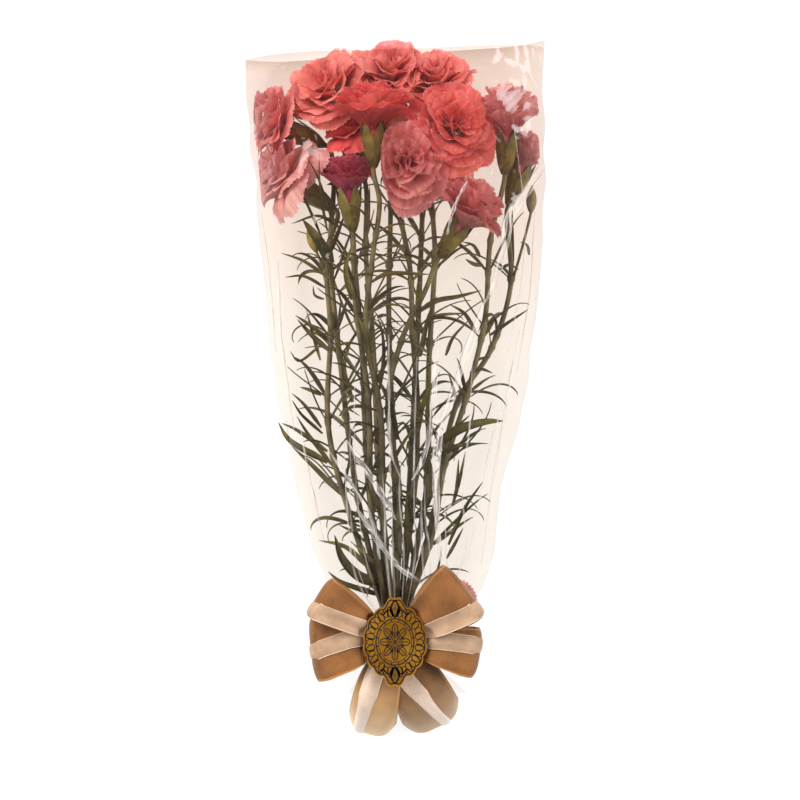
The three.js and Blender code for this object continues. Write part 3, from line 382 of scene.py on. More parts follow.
# The studio, in metres. The wide lights light the bunch, and only the narrow ones are mirrored in the film:
# name, place, size, power, mirrored
LIGHTS = [
    ("key", (-0.5, 1.2, 1.5), (1.2, 0.8), 30, False),
    ("left", (-1.5, 0.1, 1.2), (0.8, 1.0), 20, False),
    ("right", (1.5, 0, 1.2), (0.8, 1.0), 16, False),
    ("strip_right", (1.1, 0.5, 1.3), (0.05, 1.2), 3, True),
    ("strip_left", (-1.0, 0.9, 1.4), (1.0, 0.04), 2, True),
]
FLOOR_HALF = 3
FLOOR_Z = -0.0005


# Numbers

def unit(v):
    v = np.asarray(v, float)
    return v / np.linalg.norm(v)


def mix(a, b, t):
    return a + (b - a) * t


def smoothstep(x, low, high):
    t = np.clip((x - low) / (high - low), 0, 1)
    return t * t * (3 - 2 * t)


def turns(count):
    """Angles spaced evenly round a full turn."""
    return np.arange(count) / count * 2 * math.pi


def units(rows):
    return rows / np.maximum(np.linalg.norm(rows, axis=-1, keepdims=True), 1e-9)


def headings(path):
    """The unit direction of a path at each of its points."""
    return units(np.gradient(path, axis=0))


def run_of(path):
    """The length of a path up to each of its points."""
    return np.concatenate([[0], np.cumsum(np.linalg.norm(np.diff(path, axis=0), axis=1))])


def pairs(a, b):
    """Two values for each point of a row or a grid."""
    return np.stack(np.broadcast_arrays(a, b), -1)


class Draws:
    """The same seeded draws as in the part."""

    def __init__(self, seed):
        self.state = seed

    def __call__(self):
        self.state = (self.state * 1664525 + 1013904223) % 4294967296
        return self.state / 4294967296


class Curve:
    """A centripetal Catmull-Rom curve through points, sampled by its length."""

    def __init__(self, points):
        self.points = [np.asarray(p, float) for p in points]
        self.steps = np.linspace(0, 1, CURVE_STEPS + 1)
        self.lengths = run_of([self.point(t) for t in self.steps])
        self.length = self.lengths[-1]

    def point(self, t):
        pts = self.points
        place = (len(pts) - 1) * t
        k = min(int(place), len(pts) - 2)
        w = place - k
        p1, p2 = pts[k], pts[k + 1]
        p0 = pts[k - 1] if k > 0 else 2 * pts[0] - pts[1]
        p3 = pts[k + 2] if k + 2 < len(pts) else 2 * pts[-1] - pts[-2]
        dt0, dt1, dt2 = (max(np.sum((a - b) ** 2), 1e-16) ** 0.25 for a, b in ((p0, p1), (p1, p2), (p2, p3)))
        t1 = ((p1 - p0) / dt0 - (p2 - p0) / (dt0 + dt1) + (p2 - p1) / dt1) * dt1
        t2 = ((p2 - p1) / dt1 - (p3 - p1) / (dt1 + dt2) + (p3 - p2) / dt2) * dt1
        return p1 + t1 * w + (3 * (p2 - p1) - 2 * t1 - t2) * w * w + (2 * (p1 - p2) + t1 + t2) * w ** 3

    def parameter(self, share):
        return float(np.interp(share * self.length, self.lengths, self.steps))

    def at(self, share):
        return self.point(self.parameter(share))

    def tangent(self, share):
        t = self.parameter(share)
        return unit(self.point(min(t + 1e-4, 1)) - self.point(max(t - 1e-4, 0)))

    def spaced(self, count):
        return np.array([self.at(k / count) for k in range(count + 1)])


def smooth_path(points, count):
    """A flat curve through points, as evenly spaced points."""
    return Curve([(a, b, 0) for a, b in points]).spaced(count)[:, :2]


# The sleeve's shape

def sleeve_at(y):
    """The section at one y or at many: middle, half width, low, high, flat share and lean."""
    stations = SLEEVE_STATIONS[::-1]
    left, right, *rest = (np.interp(y, stations[:, 0], stations[:, k]) for k in range(1, 7))
    return [(left + right) / 2, (right - left) / 2, *rest]


def film_heights(section, u):
    """The heights of the lower and the upper sheet, at shares of the half width."""
    low, high, flat = section[2:5]
    seam = mix(low, high, SEAM_SHARE)
    rise = np.maximum(0, (np.abs(u) - flat) / (1 - flat))
    arch = np.maximum(0, 1 - np.abs(u) ** 3) ** 0.5
    return mix(low, seam, rise ** 2), mix(seam, high, arch)


def film_at(x, y, limit=1):
    """The sleeve's half width, the share of it that x is aside, and the heights of the two sheets."""
    section = sleeve_at(y)
    u = (x - section[0]) / section[1]
    return section[1], u, *film_heights(section, np.clip(u, -limit, limit))


def room_in_sleeve(points):
    """How far points lie inside the sleeve."""
    x, y, z = points.T
    half, u, low, high = film_at(x, y)
    room = np.minimum(np.minimum(z - low, high - z), half * (1 - np.abs(u)))
    return np.where(np.abs(u) >= 1, -1, room)


def from_pixels(points):
    """Places in the frame of the part, from pixels of the photograph."""
    return [((px - CENTRE_PIXEL[0]) * PIXEL, (CENTRE_PIXEL[1] - py) * PIXEL) for px, py in points]


# The flowers' frames and stems

class Flower:
    """A bloom's frame and the curve of its stem."""

    def __init__(self, name, index):
        self.name, self.index = name, index
        centre, axis, self.radius, self.roll, self.palette, self.rings, (x, z), route = FLOWERS[name]
        self.centre = np.array(centre, float)
        self.axis = unit(axis)
        self.size = self.radius / BLOOM_RADIUS
        self.upright = UPRIGHT.get(name, 0)
        self.side = unit(np.cross(SIDE_FROM, self.axis))
        self.front = np.cross(self.axis, self.side)
        self.mouth = self.centre - self.axis * BLOOM_CENTRE_HEIGHT * self.size
        self.base = self.mouth - self.axis * CALYX_LENGTH
        swayed = [(px + self.sway(py), py, pz) for px, py, pz in route]
        self.stem = Curve([
            (x * STEM_FLARE, STEM_END_Y, z), (x, TIE_Y - TIE_LENGTH / 2, z), (x, TIE_Y + TIE_LENGTH / 2, z),
            *swayed, self.base - 7 * self.axis, self.base + 2.5 * self.axis,
        ])

    def sway(self, y):
        return STEM_SWAY * math.sin(y / SWAY_PITCH + self.index * 0.55) * float(smoothstep(y, -170, -50))

    def at(self, distance, angle, height):
        """Points at a distance and an angle round the axis, and a height above the calyx's mouth."""
        out = np.cos(angle)[..., None] * self.side + np.sin(angle)[..., None] * self.front
        return self.mouth + distance[..., None] * out + height[..., None] * self.axis


flowers = [Flower(name, k) for k, name in enumerate(FLOWERS)]
STEM_POINTS = [f.stem.spaced(90) for f in flowers]
STEM_CHAINS = [f.stem.spaced(24) for f in flowers]


def limits_of(flower):
    """The flat limits between a bloom and the blooms, stems and calyxes beside it."""
    limits = []
    for other in flowers:
        if other is flower:
            continue
        apart = np.linalg.norm(other.centre - flower.centre)
        reach = flower.radius + other.radius
        if apart < reach + NEIGHBOUR_REACH:
            limits.append((other.centre, apart * flower.radius / reach - PETAL_GAP, NEIGHBOUR_YIELD))
        calyx = mix(other.base, other.mouth, np.linspace(0, 1, 5)[:, None])
        for points, radius in ((STEM_POINTS[other.index], STEM_RADIUS), (calyx, CALYX_RADIUS)):
            gaps = np.linalg.norm(points - flower.centre, axis=1)
            gap = gaps.min() - radius
            if gap < flower.radius + NEIGHBOUR_REACH:
                limits.append((points[gaps.argmin()], gap - STEM_GAP, STEM_YIELD))
    return [(unit(point - flower.centre), distance, share) for point, distance, share in limits]


def eased(distance, limit, soft):
    """A distance that nears its limit ever more slowly, over the last soft stretch."""
    past = np.maximum(distance - (limit - soft), 0)
    return np.where(past > 0, limit - soft + soft * past / (soft + past), distance)


def pressed(points, flower, limits):
    """Presses a bloom's points back from its neighbours and from the film."""
    p = points.reshape(-1, 3).copy()
    for normal, distance, share in limits:
        along = (p - flower.centre) @ normal
        p += normal * (share * (eased(along, distance, NEIGHBOUR_SOFT) - along))[:, None]
    middle, half = sleeve_at(p[:, 1])[:2]
    for side in (1, -1):
        p[:, 0] = middle + side * eased(side * (p[:, 0] - middle), half * FILM_SIDE_SHARE, FILM_SOFT)
    _, _, low, high = film_at(p[:, 0], p[:, 1])
    p[:, 2] = eased(p[:, 2], high - FILM_GAP_OVER, FILM_SOFT)
    p[:, 2] = -eased(-p[:, 2], -low - FILM_GAP_UNDER, FLOOR_SOFT)
    return p.reshape(points.shape)


# Meshes

def linked(name, data):
    """A new object in the scene."""
    obj = bpy.data.objects.new(name, data)
    bpy.context.scene.collection.objects.link(obj)
    return obj


class Builder:
    """Gathers points, faces and their values into one mesh."""

    def __init__(self):
        self.points, self.faces, self.uvs, self.tones = [], [], [], []
        self.count = 0

    def add(self, points, faces, uvs, tone=0.5):
        points = np.reshape(points, (-1, 3))
        self.points.append(points)
        self.faces.append(faces + self.count)
        self.uvs.append(np.reshape(uvs, (-1, 2)))
        self.tones.append(np.broadcast_to(np.ravel(tone), len(points)))
        self.count += len(points)

    def sheet(self, grid, uv, thickness=0.0, tone=0.5, edge=0.4):
        """A grid of points as a thin solid, or as a single face where it has no thickness."""
        m, n = grid.shape[:2]
        numbers = np.arange(m * n).reshape(m, n)
        corners = [numbers[:-1, :-1], numbers[1:, :-1], numbers[1:, 1:], numbers[:-1, 1:]]
        faces = np.stack(corners, 2).reshape(-1, 4)
        if thickness == 0:
            self.add(grid, faces, uv, tone)
            return
        normal = units(np.cross(np.gradient(grid, axis=0), np.gradient(grid, axis=1)))
        half = np.full((m, n, 1), thickness / 2)
        half[[0, -1]] *= edge
        half[:, [0, -1]] *= edge
        rim = np.concatenate([numbers[0, :-1], numbers[:-1, -1], numbers[-1, :0:-1], numbers[:0:-1, 0]])
        following = np.roll(rim, -1)
        walls = np.stack([rim, rim + m * n, following + m * n, following], 1)
        faces = np.concatenate([faces, faces[:, ::-1] + m * n, walls])
        tones = np.tile(np.broadcast_to(np.ravel(tone), m * n), 2)
        self.add([grid + normal * half, grid - normal * half], faces, [uv, uv], tones)

    def tube(self, centres, radii, sides, tone=0.5):
        """A round tube along points, closed at both ends."""
        ahead = headings(centres)
        across = units(np.cross(ahead, (0, 0, 1)))
        angles = turns(sides)[:, None]
        ring = np.cos(angles) * across[:, None] + np.sin(angles) * np.cross(across, ahead)[:, None]
        n = len(centres)
        points = centres[:, None] + ring * np.broadcast_to(radii, n)[:, None, None]
        uv = pairs(np.arange(sides) / sides, np.linspace(0, 1, n)[:, None])
        self.add(points, tube_faces(n, sides), uv, tone)

    def piece(self, name, material, slot=None, node=None):
        """The mesh as an object of the body, with the node that it stands for. The slot is not used."""
        points = np.concatenate(self.points) * MM
        faces = [tuple(dict.fromkeys(face)) for face in np.concatenate(self.faces).tolist()]
        mesh = bpy.data.meshes.new(name)
        mesh.from_pydata(points.tolist(), [], faces)
        corners = np.zeros(len(mesh.loops), np.int32)
        mesh.loops.foreach_get("vertex_index", corners)
        uvs = np.concatenate(self.uvs)[corners].astype(np.float32)
        mesh.uv_layers.new(name="UVMap").data.foreach_set("uv", uvs.ravel())
        tones = np.concatenate(self.tones).astype(np.float32)
        mesh.attributes.new("tone", "FLOAT", "POINT").data.foreach_set("value", tones)
        mesh.shade_smooth()
        mesh.materials.append(material)
        piece = linked(name, mesh)
        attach(piece, "root")
        if node:
            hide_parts(node)
        return piece


def tube_faces(rings, sides):
    """The faces between rings of points, and the two ends, in fans of quads."""
    numbers = np.arange(rings * sides).reshape(rings, sides)
    beside = np.roll(numbers, -1, axis=1)
    quads = np.stack([numbers[:-1], beside[:-1], beside[1:], numbers[1:]], 2).reshape(-1, 4)
    caps = []
    last = (rings - 1) * sides
    for k in range(1, sides - 1, 2):
        end = min(k + 2, sides - 1)
        caps += [(0, end, k + 1, k), (last, last + k, last + k + 1, last + end)]
    return np.concatenate([quads, np.array(caps)])


# Materials

def linear(rgb):
    """A colour of the screen, from 0 to 255, as Blender's linear colour."""
    return tuple(((c / 255 + 0.055) / 1.055) ** 2.4 if c > 10 else c / 255 / 12.92 for c in rgb) + (1,)


class Shading:
    """A material and short calls that add nodes to it."""

    def __init__(self, name):
        self.material = bpy.data.materials.new(name)
        self.material.use_nodes = True
        self.nodes = self.material.node_tree.nodes
        self.links = self.material.node_tree.links
        self.shader = self.nodes["Principled BSDF"]

    def set(self, node, socket, source):
        if hasattr(source, "is_linked"):
            self.links.new(source, node.inputs[socket])
        else:
            node.inputs[socket].default_value = source

    def node(self, kind, inputs=None, **values):
        node = self.nodes.new("ShaderNode" + kind)
        for key, value in values.items():
            setattr(node, key, value)
        for socket, source in (inputs or {}).items():
            self.set(node, socket, source)
        return node

    def out(self, kind, inputs=None, **values):
        """The first output of a new node."""
        return self.node(kind, inputs, **values).outputs[0]

    def principled(self, **values):
        for key, value in values.items():
            self.set(self.shader, key.replace("_", " "), value)

    def uv(self):
        return self.node("SeparateXYZ", {0: self.out("UVMap", uv_map="UVMap")}).outputs[:2]

    def tone(self):
        return self.node("Attribute", attribute_name="tone").outputs["Fac"]

    def place(self):
        return self.out("NewGeometry")

    def ramp(self, factor, stops):
        """A colour ramp. A stop is a place from 0 to 1, and a grey or a colour."""
        node = self.node("ValToRGB", {0: factor})
        while len(node.color_ramp.elements) < len(stops):
            node.color_ramp.elements.new(0.5)
        for element, (place, color) in zip(node.color_ramp.elements, stops):
            element.position = place
            element.color = (color, color, color, 1) if np.isscalar(color) else (*color[:3], 1)
        return node.outputs[0]

    def noise(self, vector, scale, detail=3, distortion=0.0):
        inputs = {"Vector": vector, "Scale": scale, "Detail": detail, "Distortion": distortion}
        return self.out("TexNoise", inputs)

    def math(self, operation, a, b, c=0.0):
        return self.out("Math", {0: a, 1: b, 2: c}, operation=operation)

    def times(self, a, b):
        return self.math("MULTIPLY", a, b)

    def streaks(self, across, along, aside, scale=1, detail=3):
        """Noise that is drawn out along a piece, and that starts elsewhere on each petal or fold."""
        u, v = self.uv()
        place = self.out("CombineXYZ", {0: self.times(u, across), 1: self.times(v, along), 2: aside})
        return self.noise(place, scale, detail)

    def blend(self, kind, factor, a, b):
        return self.node("Mix", {0: factor, 6: a, 7: b}, data_type="RGBA", blend_type=kind).outputs[2]

    def bump(self, height, strength, distance):
        normal = self.out("Bump", {"Height": height, "Strength": strength, "Distance": distance})
        self.set(self.shader, "Normal", normal)
        return normal

    def mixed(self, other, factor):
        """Mixes another shader over the main one."""
        both = self.out("MixShader", {0: factor, 1: self.shader.outputs[0], 2: other})
        self.set(self.nodes["Material Output"], 0, both)


def petal_material(name, colours):
    """Petals: darker at their root, partly in their own colour and partly by painted shade, streaked along
    their veins, paler at the rim, with patches of painted glow, and translucent.
    """
    deep, base, backlit, rim = map(linear, colours)
    s = Shading("petal_" + name)
    tone = s.tone()
    # Darker towards the root: partly the petals' own colour, partly painted shade where they overlap
    along = s.ramp(s.uv()[1], [(0.15, deep), (0.68, base), (0.95, base), (1, rim)])
    # Painted glow: patches of the backlit colour over the body, standing for light that comes through the
    # petals
    painted_glow = s.times(tone, s.ramp(s.noise(s.place(), 55), [(0.35, 0.1), (0.65, 0.95)]))
    veins = s.streaks(15, 1.6, s.times(tone, 40), detail=5)
    shades = s.ramp(veins, [(0.3, (0.74, 0.64, 0.66)), (0.7, (1.14, 1.16, 1.16))])
    color = s.blend("MULTIPLY", 0.9, s.blend("MIX", painted_glow, along, backlit), shades)
    s.principled(Base_Color=color, Roughness=0.55, Specular_IOR_Level=0.3, Sheen_Weight=0.15)
    s.bump(veins, 0.4, 0.0004)
    s.mixed(s.out("BsdfTranslucent", {"Color": s.blend("MIX", 0.2, color, backlit)}), 0.34)
    return s.material


def foliage_material(name, stops, roughness, streak=18, glow=0):
    """Stems, leaves and calyxes: patchy, streaked along their length, and one leaf darker than the next."""
    s = Shading(name)
    own = s.tone()
    tone = s.math("ADD", s.times(own, 0.35), s.times(s.uv()[1], 0.65))
    shades = s.ramp(own, [(0, (0.68, 0.7, 0.74)), (0.5, (0.96, 0.96, 0.94)), (1, (1.5, 1.42, 1.2))])
    color = s.blend("MULTIPLY", 1, s.ramp(tone, [(place, linear(rgb)) for place, rgb in stops]), shades)
    patches = s.ramp(s.noise(s.place(), 95, 5), [(0.32, (0.5, 0.46, 0.4)), (0.68, (1.35, 1.3, 1.2))])
    color = s.blend("MULTIPLY", 0.8, color, patches)
    lines = s.streaks(streak, 3, 0)
    color = s.blend("MULTIPLY", 0.4, color, s.ramp(lines, [(0.35, 0.7), (0.65, 1.2)]))
    s.principled(Base_Color=color, Roughness=roughness)
    s.bump(lines, 0.3, 0.0004)
    if glow:
        s.mixed(s.out("BsdfTranslucent", {"Color": color}), glow)
    return s.material


def ribbon_material(name, colours, slants, ribbing, painted_light_fade=None):
    """A ribbed ribbon: fine slanting ribs, a soft sheen and paler edges, and on the tails a painted light
    that makes it paler towards its end.
    """
    dark, light, edge_colour = map(linear, colours)
    s = Shading(name)
    u, v = s.uv()
    slant = s.math("ADD", s.times(u, slants[0]), s.times(v, slants[1]))
    ribs = s.math("MULTIPLY_ADD", s.math("SINE", slant, 0), 0.5, 0.5)
    wear = s.noise(s.place(), 60, 4)
    color = s.ramp(s.math("ADD", s.times(ribs, ribbing), s.times(wear, 0.9)), [(0.3, dark), (0.75, light)])
    # Painted light: the colour grows paler towards the ribbon's end, as if it were more brightly lit there
    if painted_light_fade:
        length, power, end = painted_light_fade
        reach = s.math("POWER", s.times(v, 1 / length), power)
        color = s.blend("MIX", s.math("MINIMUM", reach, 1), color, linear(end))
    # Paler along both edges of the ribbon
    color = s.blend("MIX", s.ramp(s.tone(), [(0.9, 0), (0.95, 0.8)]), color, edge_colour)
    s.principled(Base_Color=color, Roughness=0.42, Sheen_Weight=0.08, Specular_IOR_Level=0.45)
    s.bump(ribs, 0.6, 0.0003)
    return s.material


def film_material():
    """Clear film with a faint peach tint, a sharp gloss and fine wrinkles, and white patches of painted
    glint.
    """
    s = Shading("film")
    place = s.place()
    # The white of the painted glints, which shows only where they lie
    s.principled(Base_Color=linear((250, 236, 234)), Roughness=0.2)
    height = s.math("ADD", s.noise(place, 26, 2, 0.4), s.times(s.noise(place, 90, 3, 1.5), 0.25))
    normal = s.bump(height, 0.8, 0.005)
    clear = s.out("BsdfTransparent", {"Color": s.ramp(s.uv()[1], FILM_TINTS)})
    shine = s.out("BsdfGlossy", {"Roughness": 0.07, "Normal": normal})
    gloss = s.out("Fresnel", {"IOR": 1.4, "Normal": normal})
    film = s.out("MixShader", {0: gloss, 1: clear, 2: shine})
    # Painted glints: a noise, raised where the glint patches lie, picks out the white patches
    reach = s.math("ADD", s.noise(place, 34, 4, 2.6), s.math("MULTIPLY_ADD", s.tone(), 0.25, -0.22))
    patches = s.ramp(reach, [(0.5, 0), (0.54, 0.7), (0.62, 1)])
    glint_share = s.times(patches, s.math("MULTIPLY_ADD", s.tone(), 0.26, 0.12))
    s.mixed(film, s.math("SUBTRACT", 1, glint_share))
    return s.material


def fold_material():
    """The folds: two or three layers of film, so glossier, whiter partly for the layers and partly as a
    painted highlight, and broken along their length.
    """
    s = Shading("film_fold")
    # Painted highlight, in part: the folds' white stands both for light that they catch and for their extra
    # layers
    s.principled(Base_Color=linear((246, 240, 234)), Roughness=0.18)
    streak = s.streaks(4.5, 0.9, s.times(s.tone(), 50), 1.6, 4)
    s.bump(streak, 0.6, 0.001)
    clear = s.out("BsdfTransparent", {"Color": (0.92, 0.895, 0.87, 1)})
    s.mixed(clear, s.math("SUBTRACT", 1, s.ramp(streak, [(0.4, 0.06), (0.66, 0.6)])))
    return s.material


def gold_material():
    s = Shading("badge_gold")
    clouds = s.noise(s.place(), 45)
    gilt = s.ramp(clouds, [(0.3, linear((196, 130, 36))), (0.7, linear((232, 166, 58)))])
    s.principled(Base_Color=gilt, Metallic=1, Roughness=s.ramp(clouds, [(0.3, 0.24), (0.7, 0.36)]))
    s.bump(s.noise(s.place(), 900, 2), 0.08, 0.0002)
    return s.material


PETALS = {name: petal_material(name, colours) for name, colours in PETAL_COLOURS.items()}
STEM = foliage_material("stem", [(0, (112, 104, 76)), (0.6, (128, 119, 90)), (1, (114, 117, 70))], 0.35)
LEAF = foliage_material("leaf", [(0, (136, 124, 84)), (0.5, (112, 106, 70)), (1, (116, 118, 62))], 0.38,
                        streak=9, glow=0.2)
CALYX = foliage_material("calyx", [(0.15, (112, 98, 52)), (0.5, (134, 126, 66)), (0.8, (132, 130, 80)),
                                   (1, (182, 164, 96))], 0.5, streak=30, glow=0.1)


# Petals

def shaped_ring(flower, number):
    """A ring's values for one bloom: its petals stand up more where the bloom is seen from the side."""
    count, root, middle, rim, *rest = PETAL_RINGS[number]
    scale = np.array([1, SHORTENED.get(flower.name, 1)])
    middle, rim = mix(np.array([middle, rim]), np.array(FANNED_RINGS[number]), flower.upright) * scale
    return count, (root, middle, rim, *rest)


def petal_grid(flower, limits, ring, azimuth, droop, rng):
    """A petal: a toothed fan along its profile, pushed off it by its cup, ruffles, flutes and folds."""
    root, middle, rim, half_width, ruffle, cup = ring
    u = np.linspace(-1, 1, PETAL_COLUMNS)[:, None]
    v = np.linspace(0, 1, PETAL_ROWS)[None, :] ** 0.85
    stretch = rng.uniform(0.82, 1.08)
    lift = rng.uniform(-3, 3) - droop * rng.random()
    lean = rng.uniform(-0.3, 0.3)
    fold = rng.uniform(-0.12, 0.28)
    rim = np.array([rim[0] * stretch, rim[1] + lift])
    control = 2 * middle - 0.5 * (root + rim)
    teeth = np.zeros(PETAL_COLUMNS)
    teeth[1::2] = -TOOTH
    teeth += np.array([rng.uniform(-0.015, 0.015) for _ in range(PETAL_COLUMNS)])
    reach = v * (1 - 0.2 * np.abs(u) ** 2.6 + (teeth[:, None] - 0.025 * np.cos(4 * u + 9 * azimuth)) * v ** 8)
    t = np.clip(reach, 0, 1.1)
    profile = [(1 - t) ** 2 * root[k] + 2 * t * (1 - t) * control[k] + t ** 2 * rim[k] for k in (0, 1)]
    slope = [2 * (1 - t) * (control[k] - root[k]) + 2 * t * (rim[k] - control[k]) for k in (0, 1)]
    long = np.maximum(np.hypot(*slope), 1e-6)
    width = half_width * rng.uniform(0.9, 1.1) * (0.15 + 0.85 * smoothstep(v, 0.05, 0.8))
    waves = rng.uniform(1.8, 3.4)

    def ripple(times, more=0):
        return np.sin(times * u + rng.uniform(0, 6.3) + more)

    wave = ripple(waves) + 0.4 * ripple(2.4 * waves, 2 * v)
    push = 1.2 * ruffle * wave * v ** 1.8 + cup * half_width * u ** 2 * v * 1.6
    push = push + (0.35 + 0.45 * flower.upright) * (ripple(8.5, 1.4 * v) + 0.5 * ripple(13)) * v ** 0.8
    push = push + half_width * v * (lean * u + fold * (np.abs(u) - 0.4))
    push = push + 0.55 * ripple(15) * v ** 6
    distance = (profile[0] - push * slope[1] / long) * flower.size
    height = (profile[1] + push * slope[0] / long) * flower.size
    angle = azimuth + u * width / np.maximum(profile[0], 9.5)
    grid = flower.at(np.maximum(distance, 0.2), angle, height)
    return pressed(grid, flower, limits), pairs(u * 0.5 + 0.5, v)


def bloom(flower):
    """Rings of petals round a small core."""
    rng = random.Random(100 + flower.index)
    limits = limits_of(flower)
    mesh = Builder()
    turn = flower.roll * 6
    hanging = HANGING.get(flower.name, 0)
    for number in range(flower.rings):
        count, ring = shaped_ring(flower, number)
        droop = flower.upright * max(0, 9 - 4 * number) + hanging * max(0, 1 - number / 2)
        turn += math.pi / count * 1.1
        for k in range(count):
            azimuth = turn + 2 * math.pi * (k + rng.uniform(-0.2, 0.2)) / count
            grid, uv = petal_grid(flower, limits, ring, azimuth, droop, rng)
            mesh.sheet(grid, uv, tone=rng.random())
    angle = turns(THROAT_SIDES)
    distance, height = np.transpose(THROAT)[..., None] + 0 * angle
    core = flower.at(distance, angle, height)
    mesh.add(core, tube_faces(len(THROAT), THROAT_SIDES), pairs(angle / 2 / math.pi + 0 * height, 0.45), 0.4)
    slot = "petal_magenta" if flower.palette == "magenta" else "petal_coral"
    mesh.piece("petals_" + flower.name, PETALS[flower.palette], slot, "bloom_" + flower.name)


# Calyxes, stems and buds

def calyx(mesh, flower):
    """A cup with five pointed teeth, and small scales round its foot."""
    angle = turns(CALYX_SIDES)
    tooth = (1 - np.abs(1 - 2 * (angle * 5 / 2 / math.pi % 1))) ** 0.9
    notch = CALYX_NOTCH * (1 - tooth)
    rings = [(d + 0 * angle, h - notch * smoothstep(h, CALYX_FLOOR, 0)) for d, h in CALYX_PROFILE]
    rings += [(9.4 + 1.7 * share * tooth, 8 * tooth * share - notch) for share in (0.35, 0.7, 1)]
    rings += [(8.9 + 1.7 * tooth, 7.8 * tooth - notch), (7.4 + 0 * angle, CALYX_FLOOR + 0 * angle)]
    distance, height = np.stack(rings, 1)
    ridges = 1 + 0.02 * np.cos(10 * angle)
    uv = pairs(angle / 2 / math.pi, np.clip((height - CALYX_FOOT) / CALYX_TALL, 0, 1))
    mesh.add(flower.at(distance * ridges, angle, height), tube_faces(len(rings), CALYX_SIDES), uv)
    across = np.linspace(-1, 1, 5)[:, None]
    along = np.linspace(0, 1, 6)[None, :]
    for k in range(CALYX_SCALES):
        where = k * math.pi / 2 + across * (0.75 * (1 - along ** 2.2) + 0.03)
        out = 2.6 + 4.1 * along ** 0.6 + 0.25 * (k % 2)
        up = -29.5 + 10.5 * along - 1.5 * (k % 2)
        mesh.sheet(flower.at(out, where, up), pairs(across * 0.5 + 0.5, 0.35 * along), 0.5, 0.3)


def stem_tube(mesh, flower, nodes):
    """The stem, thicker at its nodes."""
    count = 150
    run = np.linspace(0, flower.stem.length, count + 1)
    radius = STEM_RADIUS * mix(1.15, 0.9, run / flower.stem.length)
    for node in nodes:
        radius = radius + NODE_SWELLING * np.exp(-((run - node) / NODE_REACH) ** 2)
    mesh.tube(flower.stem.spaced(count), radius, 10)


def side_bud(name):
    """A side bud's foot and tip, and the curve of its stalk."""
    share, tip, axis = BUDS[name]
    tip, axis = np.array(tip, float), unit(axis)
    start = next(flower for flower in flowers if flower.name == name).stem.at(share)
    foot = tip - BUD_LENGTH * axis
    return foot, tip, Curve([start, mix(start, foot, 0.5) - 3 * axis, foot, foot + 3 * axis])


def bud(mesh, name):
    foot, tip, stalk = side_bud(name)
    mesh.tube(stalk.spaced(20), STALK_RADIUS, 8)
    heights = np.linspace(0, 1, 14)
    swell = np.sin(math.pi * np.clip(heights * 0.93 + 0.06, 0, 1)) ** 0.75
    radii = np.maximum(BUD_RADIUS * swell * (1 - 0.35 * heights ** 3), 0.5)
    mesh.tube(mix(foot, tip, heights[:, None]), radii, 14, 0.9)


# Leaves, grown by the same rules as in the part

def leaf_path(leaf, steps=LEAF_CHAIN):
    """The points of a leaf's middle line, which turns away from the stem and curls."""
    s = (np.arange(LEAF_FINE_STEPS) + 0.5) / LEAF_FINE_STEPS
    turn = (leaf["turn"] * s + leaf["curl"] * s ** 3)[:, None]
    moves = (np.cos(turn) * leaf["along"] + np.sin(turn) * leaf["away"]) * leaf["length"] / LEAF_FINE_STEPS
    points = np.concatenate([[leaf["start"]], leaf["start"] + np.cumsum(moves, axis=0)])
    return points[::LEAF_FINE_STEPS // steps]


def chain_gap(chain, other):
    """The least distance between two chains of segments."""
    a, b = chain[:-1, None], chain[1:, None]
    c, d = other[None, :-1], other[None, 1:]
    ab, cd, r = b - a, d - c, a - c
    aa, cc, bb = (ab * ab).sum(-1), (cd * cd).sum(-1), (ab * cd).sum(-1)
    abr, cdr = (ab * r).sum(-1), (cd * r).sum(-1)
    det = aa * cc - bb * bb
    s = np.where(det > 1e-9, np.clip((bb * cdr - cc * abr) / np.where(det > 1e-9, det, 1), 0, 1), 0)
    t = np.clip((bb * s + cdr) / np.maximum(cc, 1e-12), 0, 1)
    s = np.clip((bb * t - abr) / np.maximum(aa, 1e-12), 0, 1)
    return np.linalg.norm(a + ab * s[..., None] - c - cd * t[..., None], axis=-1).min()


def bud_path(name):
    _, tip, stalk = side_bud(name)
    return np.array([stalk.point(k / 6) for k in range(7)] + [tip])


BUD_PATHS = [bud_path(name) for name in BUDS]


def leaf_fits(leaf, grown, margin):
    """Whether a leaf keeps clear of stems, calyxes, blooms, buds and leaves, apart from its own root."""
    path, owner, half = leaf["path"], leaf["owner"], leaf["width"] / 2
    tail = path[1:]
    for k, flower in enumerate(flowers):
        if chain_gap(tail if k == owner else path, STEM_CHAINS[k]) < half + STEM_RADIUS + margin:
            return False
        if chain_gap(path, np.array([flower.base, flower.mouth])) < half + CALYX_RADIUS + 1 + margin:
            return False
        if np.linalg.norm(path - flower.centre, axis=1).min() < flower.radius + 5 + margin:
            return False
    if any(chain_gap(tail, other) < half + BUD_RADIUS + margin for other in BUD_PATHS):
        return False
    for other in grown:
        same = other["owner"] == owner
        gap = chain_gap(tail, other["path"][1:]) if same else chain_gap(path, other["path"])
        if gap < half + other["width"] / 2 + margin:
            return False
    return True


